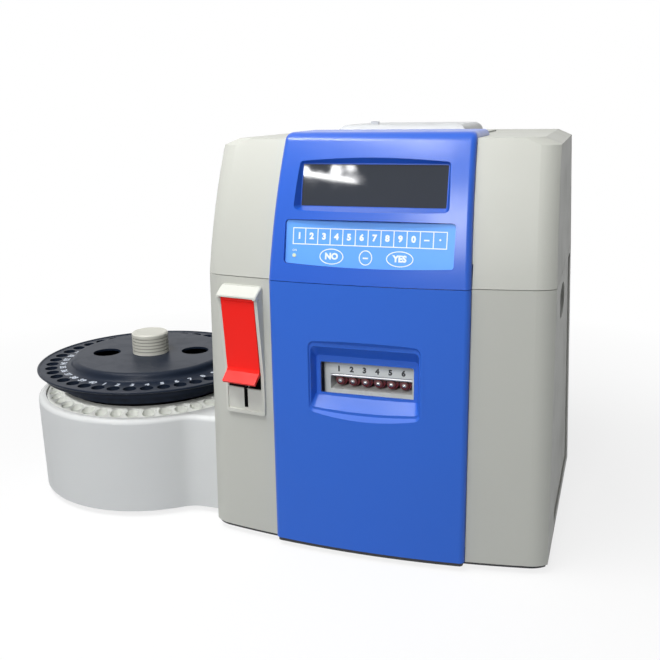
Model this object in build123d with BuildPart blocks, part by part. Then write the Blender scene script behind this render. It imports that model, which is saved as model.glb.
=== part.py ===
# Electrolyte analyser with a rotary sampler on its left side.
# Millimetres, +Z up, front towards -Y. The origin lies on the bench, under the middle of the whole.
import os
from math import asin, atan2, cos, pi, radians, sin, sqrt, tan
from build123d import *

os.makedirs("parts", exist_ok=True)

# Analyser body
half_foot = 160.5
body_depth = 258.0
seam_height = 257.0
top_height = 377.0
foot_height = 8.0
tray_low = 5.0
side_draft = 3.9
rear_draw = 5.0
bow_radius = 803.0
bow_front = -20.0
corner_width = 15.5
corner_back = 1.5
corner_bulge = 1.5
wall = 3.0
seam_gap = 0.6
lean_start = radians(8.5)
lean_radius = 385.0
shoulder_drop = 6.0
shoulder_in = 14.0

# Blue strip: display bezel above the seam, door below it
half_strip = 89.6
strip_proud = 5.5
strip_round = 5.0
strip_back = 88.0
strip_top_round = 13.0
strip_wall = 3.0
strip_taper = 4.5
door_pin = 2.0

# Rotary sampler on the left
drum_radius = 123.8
drum_top = 105.0
drum_draft = 0.8
drum_round = 5.0
sampler_gap = 3.3
sampler_back = 108.2
disc_height = 132.8
cup_count = 40
cup_hole = 13.5

# Openings in the lower housing: reagent bay on the right, service plate at the rear
bay_front = 62.0
bay_end = 22.0
bay_low = 18.0
bay_deep = 126.5
rear_low = 20.0

# Sampling port on the left cheek
port_half = 21.0
port_low = 127.0
port_proud = 2.5
port_side_wall = 3.2
port_deep = 10.0
hollow_back = 8.0
sill_height = 152.0
hood_reach = 12.5
flap_hinge_out = 7.0
cheek_reach = 10.0
flap_pin_radius = 1.5
slot_width = 4.0
slot_low = 133.0
lip_out = 13.8
cheek_low = 166.0

# Door window, display and keypad
window_left = 1.5
window_width = 101.0
window_low = 139.4
window_high = 205.6
window_sag = 3.4
window_depth = 12.0
pane_width = 93.0
pane_low = 153.0
pane_high = 190.0
glass_width = 128.5
glass_height = 36.3
glass_back = 5.6
glass_rise = 81.0
glass_tilt = 13.8
keypad_width = 149.5
keypad_height = 38.0
keypad_arch = 2.6
keypad_back = -11.4
keypad_rise = 33.6
keypad_tilt = 10.9

# Printer on top
printer_front = 96.0
printer_half = 75.5
well_half = 60.0
well_deep = 47.0
lid_half = 62.0
lid_long = 96.4
lid_tall = 7.5
roll_radius = 20.0
roll_width = 57.0

# Fits
clearance = 0.2
pin_clearance = 0.05
sliding_gap = 0.4

# Places worked out from the sizes above
shoulder_height = top_height - shoulder_drop
half_front_seam = half_foot - side_draft
half_rear_seam = half_front_seam - rear_draw
half_front_top = half_front_seam - 4.5
half_rear_top = half_front_top - rear_draw - 0.5
strip_top = top_height + strip_proud
strip_front = bow_front - strip_proud
glass_middle = seam_height + glass_rise
keypad_middle = seam_height + keypad_rise
bay_left = half_foot - bay_deep
bay_rear = body_depth - bay_end
bay_high = seam_height - 7.0
rear_half = half_rear_seam - 23.6
rear_high = seam_height - 11.0
frame_top = top_height + 1.5
well_floor = top_height - well_deep
lid_front = printer_front + 3.0
lid_hinge_back = lid_front + lid_long
printer_rear = lid_hinge_back + 8.6
lid_low = frame_top + 0.5
lid_high = lid_low + lid_tall
roll_back = lid_hinge_back - 29.4
roll_height = well_floor + roll_radius + 2.5
disc_radius = drum_radius - 1.4
cup_circle = disc_radius - 14.8
sampler_left = half_foot + sampler_gap + drum_radius
port_left = (half_strip + half_foot) / 2 - 6.55
port_high = seam_height - 7.5
hood_lip = port_high - 11.0
hollow_high = port_high - 3.0
flap_hinge_height = hood_lip - 1.0
flap_half = port_half - port_side_wall - sliding_gap
port_across = -port_left / bow_radius
port_along = -sqrt(1 - port_across ** 2)
lip_front = bow_front + bow_radius + (bow_radius + lip_out) * port_along + flap_half * port_across
drum_reach = drum_radius - drum_round * tan(radians(drum_draft))
body_x = (sampler_left + drum_reach - half_foot) / 2
body_y = -(body_depth + min(strip_front, lip_front)) / 2
sampler_x = body_x - sampler_left
sampler_y = body_y + sampler_back


# Sketch planes: level looks down on the analyser, front faces the user, side faces right
def level(z):
    return Plane((body_x, body_y, z))


def front(y):
    return Plane(origin=(body_x, body_y + y, 0), x_dir=(1, 0, 0), z_dir=(0, -1, 0))


def side(x):
    return Plane(origin=(body_x + x, body_y, 0), x_dir=(0, 1, 0), z_dir=(1, 0, 0))


def deck(z):
    return Plane((sampler_x, sampler_y, z))


# How far the leaning upper front has moved back at height z
def lean(z):
    rise = max(0.0, z - seam_height)
    turn = asin(sin(lean_start) + rise / lean_radius)
    return lean_radius * (cos(lean_start) - cos(turn))


def between(low, high, share):
    return low + (high - low) * share


# Half widths of the body at height z, at its front corner and at its rear edge
def half_widths(z):
    if z <= seam_height:
        share = (z - foot_height) / (seam_height - foot_height)
        return between(half_foot, half_front_seam, share), between(half_foot, half_rear_seam, share)
    share = (z - seam_height) / (shoulder_height - seam_height)
    return (between(half_front_seam, half_front_top, share),
            between(half_rear_seam, half_rear_top, share))


# Depth of the bowed front at distance x from the middle
def bow(x, apex, radius):
    return apex + radius - sqrt(radius * radius - x * x)


# Plan of the body: bowed front, two eased corners, sides that draw in to the rear
def body_plan(z, move, half_front, half_rear, inset):
    apex = bow_front + move + inset
    radius = bow_radius - inset
    edge = half_front - inset
    rear_edge = half_rear - inset
    rear = body_depth - inset
    ease = edge - corner_width
    start = bow(ease, apex, radius)
    corner = corner_back + move + inset * 0.6
    slope = atan2(corner - start, edge - ease)
    mid = ((ease + edge) / 2 + corner_bulge * sin(slope), (start + corner) / 2 - corner_bulge * cos(slope))
    with BuildSketch(level(z)) as plan:
        with BuildLine():
            ThreePointArc((-ease, start), (0, apex), (ease, start))
            ThreePointArc((ease, start), mid, (edge, corner))
            Polyline((edge, corner), (rear_edge, rear), (-rear_edge, rear), (-edge, corner))
            ThreePointArc((-edge, corner), (-mid[0], mid[1]), (-ease, start))
        make_face()
    return plan.sketch


def lower_form(low, high, inset):
    with BuildPart() as form:
        sections = [body_plan(z, 0, *half_widths(z), inset) for z in (low, high)]
        loft(sections=sections, ruled=True)
    return form.part


def upper_form(low, inset):
    heights = [between(seam_height, shoulder_height, share) for share in (0, 0.25, 0.5, 0.75, 1)]
    heights[0] = low
    top = top_height - inset
    with BuildPart() as form:
        loft(sections=[body_plan(z, lean(z), *half_widths(z), inset) for z in heights])
        shoulder = body_plan(shoulder_height, lean(shoulder_height),
                             half_front_top, half_rear_top, inset)
        crown = body_plan(top, lean(top), half_front_top - shoulder_in,
                          half_rear_top - shoulder_in, inset)
        loft(sections=[shoulder, crown], ruled=True)
    return form.part


# Half width of the blue strip, which narrows above the seam
def half_strip_at(z):
    share = max(0.0, z - seam_height) / (top_height - seam_height)
    return half_strip - strip_taper * share


# Plan of the blue strip: bowed like the body but proud of it, with rounded edges
def strip_plan(z, move, inset, narrow=0.0):
    apex = strip_front + move + inset
    radius = bow_radius + strip_proud - inset
    edge = half_strip_at(z) - inset - narrow
    with BuildSketch(level(z)) as plan:
        with BuildLine():
            ThreePointArc((-edge, bow(edge, apex, radius)), (0, apex), (edge, bow(edge, apex, radius)))
            Polyline((edge, bow(edge, apex, radius)), (edge, strip_back - inset),
                     (-edge, strip_back - inset), (-edge, bow(edge, apex, radius)))
        make_face()
        fillet(plan.vertices().group_by(Axis.Y)[0], max(strip_round - inset, 1.0))
    return plan.sketch


# The strip stands proud of the body in front and on top, and rolls over its brow
def strip_form(low, inset):
    roll = strip_top_round - inset
    top = strip_top - inset
    edge_roll = strip_round - inset
    start = asin(sin(lean_start) + (top - roll - seam_height) / lean_radius)
    brow = top - roll + roll * sin(start)
    with BuildPart() as form:
        loft(sections=[strip_plan(z, lean(z), inset)
                       for z in (low, between(low, brow, 0.35), between(low, brow, 0.7), brow)])
        sections = []
        for step in range(6):
            turn = start + (pi / 2 - start) * step / 5
            z = top - roll + roll * sin(turn)
            over = max(0.0, z - top + edge_roll)
            narrow = edge_roll - sqrt(edge_roll ** 2 - over ** 2)
            sections.append(strip_plan(z, lean(brow) + roll * (cos(start) - cos(turn)), inset, narrow))
        loft(sections=sections)
    return form.part


# Sketch plane of the sampling port: it lies on the bowed cheek and looks out of it
def port(out):
    centre = bow_front + bow_radius
    reach = bow_radius + out
    return Plane(origin=(body_x + reach * port_across, body_y + centre + reach * port_along, 0),
                 x_dir=(-port_along, port_across, 0), z_dir=(port_across, port_along, 0))


# Upright plane across the port, u to one side of its middle: sketch x points out, y up
def port_side(u):
    face = port(0)
    origin = face.origin + face.x_dir * u
    return Plane(origin=origin, x_dir=face.z_dir, z_dir=-face.x_dir)


# Tilted planes of the display glass and of the keypad, x across and y up the slope
def tilted(back, height, tilt, out=0.0):
    normal = Vector(0, -cos(radians(tilt)), sin(radians(tilt)))
    origin = Vector(body_x, body_y + back, height) + normal * out
    return Plane(origin=origin, x_dir=(1, 0, 0), z_dir=normal)


def block(x0, x1, y0, y1, z0, z1, radius=0.0, mode=Mode.ADD):
    with BuildSketch(level(z0)) as plan:
        with Locations(((x0 + x1) / 2, (y0 + y1) / 2)):
            if radius:
                RectangleRounded(x1 - x0, y1 - y0, radius)
            else:
                Rectangle(x1 - x0, y1 - y0)
    extrude(plan.sketch, amount=z1 - z0, mode=mode)


def save(piece, name):
    piece.part.label = name
    export_step(piece.part, f"parts/{name}.step")


def cylinder(plane, u, v, radius, length, mode=Mode.ADD):
    with BuildSketch(plane) as ring:
        with Locations((u, v)):
            Circle(radius)
    extrude(ring.sketch, amount=length, mode=mode)


# Where the door turns: the middle of the strip's rounded right edge
hinge_x = half_strip - strip_round
hinge_back = bow(hinge_x, strip_front + strip_round, bow_radius + strip_proud - strip_round)
door_low = foot_height + seam_gap
door_high = seam_height - seam_gap


# Lower housing: cheeks, sides and rear frame in one moulding, with the door's gap in front
def make_lower_housing():
    top = seam_height - seam_gap
    door_half = half_strip + clearance
    with BuildPart() as lower_housing:
        add(lower_form(foot_height, top, 0))
        add(lower_form(foot_height - 1, top + 1, wall), mode=Mode.SUBTRACT)
        block(-door_half, door_half, -60, 40, foot_height - 1, top + 1, mode=Mode.SUBTRACT)
        with BuildSketch(side(half_rear_seam - 30)):
            with Locations(((bay_front + bay_rear) / 2, (bay_low + bay_high) / 2)):
                RectangleRounded(bay_rear - bay_front, bay_high - bay_low, 6)
        extrude(amount=50, mode=Mode.SUBTRACT)
        with BuildSketch(front(body_depth + 5)):
            with Locations((0, (rear_low + rear_high) / 2)):
                RectangleRounded(2 * rear_half, rear_high - rear_low, 4)
        extrude(amount=20, mode=Mode.SUBTRACT)
        with BuildSketch(port(-20)):
            with Locations((0, (port_low + port_high) / 2)):
                RectangleRounded(2 * port_half - 2, port_high - port_low - 2, 2)
        extrude(amount=30, mode=Mode.SUBTRACT)
    save(lower_housing, "lower_housing")


# Upper housing: leaning front, shallow shoulders, a slot for the blue strip, the printer's hole
def make_upper_housing():
    with BuildPart() as upper_housing:
        add(upper_form(seam_height, 0))
        add(upper_form(seam_height - 1, wall), mode=Mode.SUBTRACT)
        slots = []
        for z in (seam_height, top_height + 9):
            with BuildSketch(level(z)) as slot:
                with Locations((0, (strip_back + clearance - 60) / 2)):
                    Rectangle(2 * (half_strip_at(z) + clearance), strip_back + clearance + 60)
            slots.append(slot.sketch)
        loft(sections=slots, ruled=True, mode=Mode.SUBTRACT)
        block(-printer_half + 4, printer_half - 4, printer_front + 4, printer_rear - 4,
              top_height - 20, top_height + 9, mode=Mode.SUBTRACT)
        with BuildSketch(front(body_depth + 5)):
            with GridLocations(0, 9, 1, 6):
                with Locations((0, seam_height + 43)):
                    SlotOverall(150, 4)
        extrude(amount=20, mode=Mode.SUBTRACT)
    save(upper_housing, "upper_housing")


# Outline of a recess: a rectangle with an arched top or foot and rounded corners
def recess_outline(plane, width, height, rise, radius, top=1):
    with BuildSketch(plane) as outline:
        with BuildLine():
            Polyline((-width / 2, top * height / 2), (-width / 2, -top * height / 2),
                     (width / 2, -top * height / 2), (width / 2, top * height / 2))
            ThreePointArc((width / 2, top * height / 2), (0, top * (height / 2 + rise)),
                          (-width / 2, top * height / 2))
        make_face()
        fillet(outline.vertices(), radius)
    return outline.sketch


# Display bezel: the strip above the seam, with tubs for the display and the keypad
def make_display_bezel():
    glass = tilted(glass_back, glass_middle, glass_tilt)
    keys = tilted(keypad_back, keypad_middle, keypad_tilt)
    with BuildPart() as tubs:
        with BuildSketch(glass.offset(-4)):
            Rectangle(glass_width + 12, glass_height + 14)
        extrude(amount=30)
        with BuildSketch(keys.offset(-3.5)):
            Rectangle(keypad_width + 6, keypad_height + 6)
        extrude(amount=25)
        block(hinge_x - 8, half_strip, hinge_back - 8, hinge_back + 8, seam_height, seam_height + 7)
        block(-half_strip, 8 - hinge_x, hinge_back - 8, hinge_back + 8, seam_height, seam_height + 7)
        add(strip_form(seam_height, 0), mode=Mode.INTERSECT)
    with BuildPart() as display_bezel:
        add(strip_form(seam_height, 0))
        add(strip_form(seam_height - 1, strip_wall), mode=Mode.SUBTRACT)
        add(upper_form(seam_height - 1, wall + 5), mode=Mode.SUBTRACT)
        add(tubs.part)
        extrude(recess_outline(glass, glass_width, glass_height, 0.01, 1.0), amount=10, both=True,
                mode=Mode.SUBTRACT)
        loft(sections=[recess_outline(glass.offset(0.5), glass_width + 1, glass_height + 1, 0.4, 1.5),
                       recess_outline(glass.offset(18), glass_width + 17, glass_height + 19, 6, 8)],
             ruled=True, mode=Mode.SUBTRACT)
        extrude(recess_outline(keys, keypad_width, keypad_height, keypad_arch, 3, -1), amount=12,
                mode=Mode.SUBTRACT)
        with BuildSketch(level(seam_height)):
            with Locations((hinge_x, hinge_back)):
                Circle(door_pin + pin_clearance)
        extrude(amount=5, mode=Mode.SUBTRACT)
    save(display_bezel, "display_bezel")


# Funnel of the door window at a given distance in front of its back plane
def window_outline(y, width, low, high, drop, radius):
    with BuildSketch(front(y)) as outline:
        with BuildLine():
            left = -width / 2 - window_left
            right = width / 2 - window_left
            Polyline((left, low), (left, high), (right, high), (right, low))
            ThreePointArc((right, low), (-window_left, low - drop), (left, low))
        make_face()
        fillet(outline.vertices(), radius)
    return outline.sketch


# Door: the blue panel below the seam, hung on two pins in its rounded right edge
def make_door():
    window_back = strip_front + window_depth
    with BuildPart() as door:
        extrude(strip_plan(door_low, 0, 0), amount=door_high - door_low)
        extrude(strip_plan(door_low - 1, 0, strip_wall), amount=door_high - door_low + 2,
                mode=Mode.SUBTRACT)
        block(-half_strip - 1, half_strip + 1, hinge_back, strip_back + 1, door_low - 1, door_high + 1,
              mode=Mode.SUBTRACT)
        with BuildPart(mode=Mode.PRIVATE) as funnel:
            loft(sections=[window_outline(strip_front + 1.5, window_width + 6, window_low - 4.4,
                                          window_high + 4.4, window_sag - 0.1, 7),
                           window_outline(window_back + 2, pane_width + 5, pane_low - 3,
                                          pane_high + 4, 1.0, 5)], ruled=True)
        add(funnel.part)
        cylinder(level(door_low), hinge_x, hinge_back, strip_round, door_high - door_low)
        for low in (door_low, door_high - 3):
            block(-half_strip + 2, hinge_x, hinge_back - 4, hinge_back - 0.2, low, low + 3)
        loft(sections=[window_outline(strip_front - 1.5, window_width, window_low, window_high,
                                      window_sag, 5),
                       window_outline(window_back, pane_width, pane_low, pane_high, 0.8, 3)],
             ruled=True, mode=Mode.SUBTRACT)
        loft(sections=[window_outline(strip_front - 1.5, window_width + 5, window_low - 2.8,
                                      window_high + 2.8, window_sag + 0.4, 7.5),
                       window_outline(strip_front + 3.2, window_width - 1.6, window_low + 2.6,
                                      window_high - 2.4, window_sag - 0.4, 4.6)],
             ruled=True, mode=Mode.SUBTRACT)
        with BuildSketch(front(0)) as pane:
            with Locations((-window_left, (pane_low + pane_high) / 2 - 2)):
                RectangleRounded(pane_width - 7.5, pane_high - pane_low - 8, 1.5)
        extrude(pane.sketch, amount=20, mode=Mode.SUBTRACT)
        for low in (door_low, door_high - 8):
            cylinder(level(low), hinge_x, hinge_back, door_pin, 8, mode=Mode.SUBTRACT)
    save(door, "door")


# Hinge pins pressed into the door; their free ends turn in the tray and in the bezel
def make_door_pins():
    with BuildPart() as door_pins:
        cylinder(level(tray_low + 0.5), hinge_x, hinge_back, door_pin, door_low + 8 - tray_low - 0.5)
        cylinder(level(door_high - 8), hinge_x, hinge_back, door_pin, 8 + seam_gap + 4.4)
    save(door_pins, "door_pins")


# Base tray: floor under the whole body, a rim inside the housing, the door's lower bearing
def make_base_tray():
    foot_front, foot_rear = half_widths(foot_height)
    with BuildPart() as base_tray:
        extrude(body_plan(tray_low, 0, foot_front, foot_rear, 2.0), amount=foot_height - tray_low)
        extrude(strip_plan(tray_low, 0, 1.5), amount=foot_height - tray_low)
        extrude(body_plan(foot_height, 0, foot_front, foot_rear, wall + 0.6), amount=10)
        extrude(body_plan(foot_height, 0, foot_front, foot_rear, wall + 3.0), amount=11,
                mode=Mode.SUBTRACT)
        block(-half_strip - 2, half_strip + 2, -60, 30, foot_height, foot_height + 12, mode=Mode.SUBTRACT)
        block(half_foot - 14, half_foot, bay_front - 8, bay_rear + 8, 15.0, foot_height + 12,
              mode=Mode.SUBTRACT)
        cylinder(level(tray_low - 1), hinge_x, hinge_back, door_pin + pin_clearance, 10,
                 mode=Mode.SUBTRACT)
        with BuildSketch(level(tray_low - 1)) as vents:
            with Locations((-70, 120)):
                with GridLocations(12, 0, 6, 1):
                    SlotOverall(50, 4, rotation=90)
        extrude(vents.sketch, amount=10, mode=Mode.SUBTRACT)
    save(base_tray, "base_tray")


foot_radius = 9.0


def make_feet():
    with BuildPart() as feet:
        with BuildSketch(Plane.XY) as pads:
            with Locations((body_x, body_y + 126)):
                with GridLocations(268, 212, 2, 2):
                    Circle(foot_radius)
        extrude(pads.sketch, amount=tray_low)
        chamfer(feet.edges().group_by(Axis.Z)[0], 1.2)
    save(feet, "feet")


# Service panel: the tray-shaped plate behind the door that carries pump, valve and electrodes
panel_front = 12.0
panel_thick = 3.0
cell_left = 44.0
cell_low = 150.0
cell_high = 189.0
cell_front = 1.0
pump_x = 40.0
pump_z = 84.0
pump_radius = 27.0


def make_service_panel():
    outer = half_strip + 3.1
    flange_front = bow(outer, bow_front + wall, bow_radius - wall) + seam_gap / 2
    with BuildPart() as service_panel:
        block(-outer, outer, panel_front, panel_front + panel_thick, foot_height, seam_height - 3)
        for side_x in (-outer, outer - 2.5):
            block(side_x, side_x + 2.5, flange_front, panel_front + panel_thick, foot_height + 10,
                  seam_height - 3)
        block(-outer, outer, panel_front, panel_front + 40, foot_height, foot_height + 3)
        block(-cell_left - window_left - clearance, cell_left - window_left + clearance,
              panel_front - 5, panel_front + 10, cell_low - clearance, cell_high + clearance,
              mode=Mode.SUBTRACT)
        cylinder(front(panel_front + panel_thick + 1), pump_x, pump_z, 12.4, 10, mode=Mode.SUBTRACT)
    save(service_panel, "service_panel")


# Electrode cell: housing with a label face, a trough and six flow-through electrodes
cell_rear = 62.0
electrode_count = 6
electrode_pitch = 12.0
electrode_radius = 5.6
electrode_height = 161.5


def make_electrode_cell():
    left = -cell_left - window_left
    right = cell_left - window_left
    trough = electrode_count * electrode_pitch + 4
    with BuildPart() as electrode_cell:
        block(left, right, cell_front, cell_rear, cell_low, cell_high)
        block(-window_left - trough / 2, -window_left + trough / 2, cell_front - 1, cell_rear - 6,
              electrode_height - 7.0, electrode_height + 7.6, mode=Mode.SUBTRACT)
        with BuildSketch(front(cell_front - 1)) as grooves:
            with Locations((-window_left, electrode_height)):
                with GridLocations(electrode_pitch, 0, electrode_count, 1):
                    Circle(electrode_radius + 0.3)
        extrude(grooves.sketch, amount=-50, mode=Mode.SUBTRACT)
    save(electrode_cell, "electrode_cell")


def make_electrodes():
    with BuildPart() as electrodes:
        with BuildSketch(front(cell_front + 8)) as bodies:
            with Locations((-window_left, electrode_height)):
                with GridLocations(electrode_pitch, 0, electrode_count, 1):
                    Circle(electrode_radius)
        extrude(bodies.sketch, amount=-(cell_rear - 6.3 - cell_front - 8))
        with BuildSketch(front(cell_front + 3)) as caps:
            with Locations((-window_left, electrode_height)):
                with GridLocations(electrode_pitch, 0, electrode_count, 1):
                    Circle(3.6)
        extrude(caps.sketch, amount=-5)
    save(electrodes, "electrodes")


# Clamp rod across the electrode caps
def make_clamp_rod():
    trough = electrode_count * electrode_pitch + 4
    with BuildPart() as clamp_rod:
        cylinder(side(-window_left - trough / 2), cell_front + 2.6, electrode_height + 5.6, 1.6, trough)
    save(clamp_rod, "clamp_rod")


# Peristaltic pump: bracket, motor behind the panel, rotor with rollers in front, pressure shoe
def make_pump():
    with BuildPart() as pump_motor:
        block(pump_x - 21, pump_x + 21, panel_front + panel_thick, panel_front + panel_thick + 44,
              pump_z - 21, pump_z + 21, radius=3)
        cylinder(front(panel_front + panel_thick), pump_x, pump_z, 11.0, 2)
        cylinder(front(panel_front + panel_thick), pump_x, pump_z, 3.0, 16.6)
    save(pump_motor, "pump_motor")
    with BuildPart() as pump_rotor:
        cylinder(front(panel_front - 1.0), pump_x, pump_z, 20.0, 2.5)
        cylinder(front(panel_front - 11.5), pump_x, pump_z, 20.0, 2.5)
        cylinder(front(panel_front - 1.0), pump_x, pump_z, 8.0, 12)
        with BuildSketch(front(panel_front - 3.5)) as rollers:
            with Locations((pump_x, pump_z)):
                with PolarLocations(14.5, 4):
                    Circle(4.4)
        extrude(rollers.sketch, amount=8)
        cylinder(front(panel_front), pump_x, pump_z, 3.0 + pin_clearance, 14, mode=Mode.SUBTRACT)
        cylinder(front(panel_front - 14), pump_x, pump_z, 6.0, 1.5)
    save(pump_rotor, "pump_rotor")
    with BuildPart() as pump_shoe:
        cylinder(front(panel_front), pump_x, pump_z, pump_radius + 4, 13)
        cylinder(front(panel_front + 1), pump_x, pump_z, pump_radius - 4.5, 16, mode=Mode.SUBTRACT)
        block(pump_x - 40, pump_x + 40, -20, 30, pump_z - 40, pump_z - 3, mode=Mode.SUBTRACT)
    save(pump_shoe, "pump_shoe")


def make_valve():
    with BuildPart() as valve_block:
        block(-66, -34, panel_front - 14, panel_front, 66, 92, radius=2)
        block(-60, -40, panel_front - 8, panel_front, 92, 104)
        with BuildSketch(front(panel_front - 14)) as ports:
            with Locations((-50, 79)):
                with GridLocations(18, 0, 2, 1):
                    Circle(2.4)
        extrude(ports.sketch, amount=5)
    save(valve_block, "valve_block")


# Capillary from the valve up to the cell, and from the cell down to the pump
def make_tubing():
    with BuildPart() as tubing:
        for start, end in (((-59, 104), (-38, 150)), ((34, 150), (pump_x, pump_z + 31))):
            with BuildLine(front(panel_front - 4)) as run:
                middle = between(start[1], end[1], 0.5)
                FilletPolyline(start, (start[0], middle), (end[0], middle), end, radius=2.6)
            with BuildSketch(Plane(run.line @ 0, z_dir=run.line % 0)) as bore:
                Circle(1.1)
            sweep(bore.sketch, path=run.line)
    save(tubing, "tubing")


# Whether an edge lies on one of the hood's two sides, in front of the flange
def on_hood_side(edge):
    place = port(0).to_local_coords(edge.center())
    return abs(place.X) > port_half - 0.1 and place.Z > port_proud + 1 and place.Y > hood_lip + 2


# Sampling port: frame with hood and cheeks round a hollow, a sill with the needle slot, a cap behind it
def make_port_frame():
    port_tall = port_high - port_low
    port_middle = (port_high + port_low) / 2
    hollow_half = port_half - port_side_wall
    slot_tall = sill_height + 4 - slot_low
    with BuildPart() as port_frame:
        with BuildSketch(port(-port_deep)) as rim:
            with Locations((0, port_middle)):
                RectangleRounded(2 * port_half - 2.4, port_tall - 2.4, 1.8)
        extrude(rim.sketch, amount=port_deep)
        with BuildSketch(port(0)) as face:
            with Locations((0, port_middle)):
                RectangleRounded(2 * port_half, port_tall, 2)
        extrude(face.sketch, amount=port_proud)
        with BuildSketch(port_side(-port_half)) as hood:
            Polygon((0, port_high), (port_proud, port_high - 0.6), (hood_reach - 0.8, hood_lip + 3.4),
                    (hood_reach, hood_lip + 2.4), (hood_reach, hood_lip), (cheek_reach, hood_lip),
                    (port_proud, cheek_low), (0, cheek_low), align=None)
        extrude(hood.sketch, amount=-2 * port_half)
        with BuildSketch(port(-port_deep)) as outline:
            with Locations((0, port_middle)):
                RectangleRounded(2 * port_half, port_tall, 3)
        extrude(outline.sketch, amount=port_deep + hood_reach + 1, mode=Mode.INTERSECT)
        chamfer([edge for edge in port_frame.edges() if on_hood_side(edge)], 0.9)
        with BuildSketch(port_side(-hollow_half)) as hollow:
            Polygon((-hollow_back, sill_height), (-hollow_back, hollow_high), (2, hollow_high),
                    (hood_reach - 3.1, hood_lip + 1.6), (hood_reach + 8, hood_lip - 0.4),
                    (hood_reach + 8, sill_height), align=None)
        extrude(hollow.sketch, amount=-2 * hollow_half, mode=Mode.SUBTRACT)
        with BuildSketch(port(-port_deep - 2)) as slot:
            with Locations((0, slot_low + slot_tall / 2)):
                Rectangle(slot_width, slot_tall)
        extrude(slot.sketch, amount=port_deep + 10, mode=Mode.SUBTRACT)
        with BuildSketch(port(port_proud - 1.4)) as inset:
            with Locations((0, (port_low + sill_height) / 2 + 1.5)):
                RectangleRounded(2 * port_half - 4, sill_height - port_low - 4, 1)
        extrude(inset.sketch, amount=5, mode=Mode.SUBTRACT)
        cylinder(port_side(-port_half - 1), flap_hinge_out, flap_hinge_height, flap_pin_radius,
                 -2 * port_half - 2, mode=Mode.SUBTRACT)
    save(port_frame, "port_frame")
    with BuildPart() as slot_guide:
        with BuildSketch(port(-port_deep - 2)) as cap:
            with Locations((0, slot_low + slot_tall / 2)):
                Rectangle(slot_width + 8, slot_tall + 4)
        extrude(cap.sketch, amount=2)
    save(slot_guide, "slot_guide")


# Flap: hangs from the hood's pin and ends in a lip for the finger
def make_flap():
    root = flap_hinge_height - 2
    lip_high = sill_height + 8.6
    with BuildPart() as flap:
        with BuildSketch(port_side(-flap_half)) as profile:
            with BuildLine():
                Polyline((flap_hinge_out - 0.4, root), (1.4, lip_high + 9.8), (2.0, lip_high + 6.4),
                         (lip_out - 1.8, lip_high - 2), (lip_out, lip_high), (5.4, lip_high + 7.9),
                         (4.2, lip_high + 10.4), (flap_hinge_out + 2.8, root),
                         (flap_hinge_out - 0.4, root))
            make_face()
            with Locations((flap_hinge_out, flap_hinge_height)):
                Circle(2.9)
                Circle(flap_pin_radius + pin_clearance, mode=Mode.SUBTRACT)
        extrude(profile.sketch, amount=-2 * flap_half)
    save(flap, "flap")


def make_flap_pin():
    with BuildPart() as flap_pin:
        cylinder(port_side(-port_half + 0.5), flap_hinge_out, flap_hinge_height, flap_pin_radius,
                 -2 * port_half + 1)
    save(flap_pin, "flap_pin")


needle_out = -4.8
needle_hinge_height = 222.0
needle_low = 136.0
needle_radius = 0.9
needle_pin_radius = 1.5
arm_drop = 18.0
arm_half = 6.0
arm_thick = 5.6


# Needle arm: hangs from a pin behind the flap and carries the sampling needle
def make_needle_arm():
    with BuildPart() as needle_arm:
        with BuildSketch(port_side(-arm_half)) as profile:
            with Locations((needle_out, needle_hinge_height)):
                Circle(arm_thick / 2)
            with Locations((needle_out, needle_hinge_height - arm_drop / 2)):
                Rectangle(arm_thick, arm_drop)
            with Locations((needle_out, needle_hinge_height)):
                Circle(needle_pin_radius + pin_clearance, mode=Mode.SUBTRACT)
        extrude(profile.sketch, amount=-2 * arm_half)
        foot = port(needle_out)
        cylinder(Plane(foot.origin + Vector(0, 0, needle_low), x_dir=foot.x_dir, z_dir=(0, 0, 1)),
                 0, 0, needle_radius, needle_hinge_height - arm_drop - needle_low + 1)
    save(needle_arm, "needle_arm")


def make_needle_pin():
    with BuildPart() as needle_pin:
        cylinder(port_side(-port_half + port_side_wall), needle_out, needle_hinge_height,
                 needle_pin_radius, -2 * (port_half - port_side_wall))
    save(needle_pin, "needle_pin")


spindle_radius = 4.0
mech_rear = printer_front + 42.0
mech_top = top_height - 9.0
lid_pin = 1.5
lid_thick = 3.2


# Printer tray: rim on the housing's top, a well for the roll and slots for its spindle
def make_printer_tray():
    lid_axis = (lid_low + lid_high) / 2
    with BuildPart() as printer_tray:
        block(-printer_half, printer_half, printer_front, printer_rear, top_height, frame_top, radius=6)
        block(-well_half - 3, well_half + 3, printer_front + 5, printer_rear - 7, well_floor - 3,
              frame_top - 0.5, radius=3)
        block(-well_half, well_half, printer_front + 8, printer_rear - 16, well_floor, frame_top + 1,
              mode=Mode.SUBTRACT)
        for left in (-roll_width / 2 - 6, roll_width / 2 + 2):
            block(left, left + 4, roll_back - 12, printer_rear - 16, well_floor, roll_height + 10)
            block(left - 1, left + 5, roll_back - spindle_radius - 0.1, roll_back + spindle_radius + 0.1,
                  roll_height, roll_height + 12, mode=Mode.SUBTRACT)
            cylinder(side(left - 1), roll_back, roll_height, spindle_radius + 0.1, 6, mode=Mode.SUBTRACT)
        for left in (-46, 40):
            block(left, left + 6, lid_hinge_back - 3.4, lid_hinge_back + 3.4, frame_top - 1, lid_axis)
            cylinder(side(left), lid_hinge_back, lid_axis, 3.4, 6)
            cylinder(side(left - 1), lid_hinge_back, lid_axis, lid_pin, 8, mode=Mode.SUBTRACT)
    save(printer_tray, "printer_tray")


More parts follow.
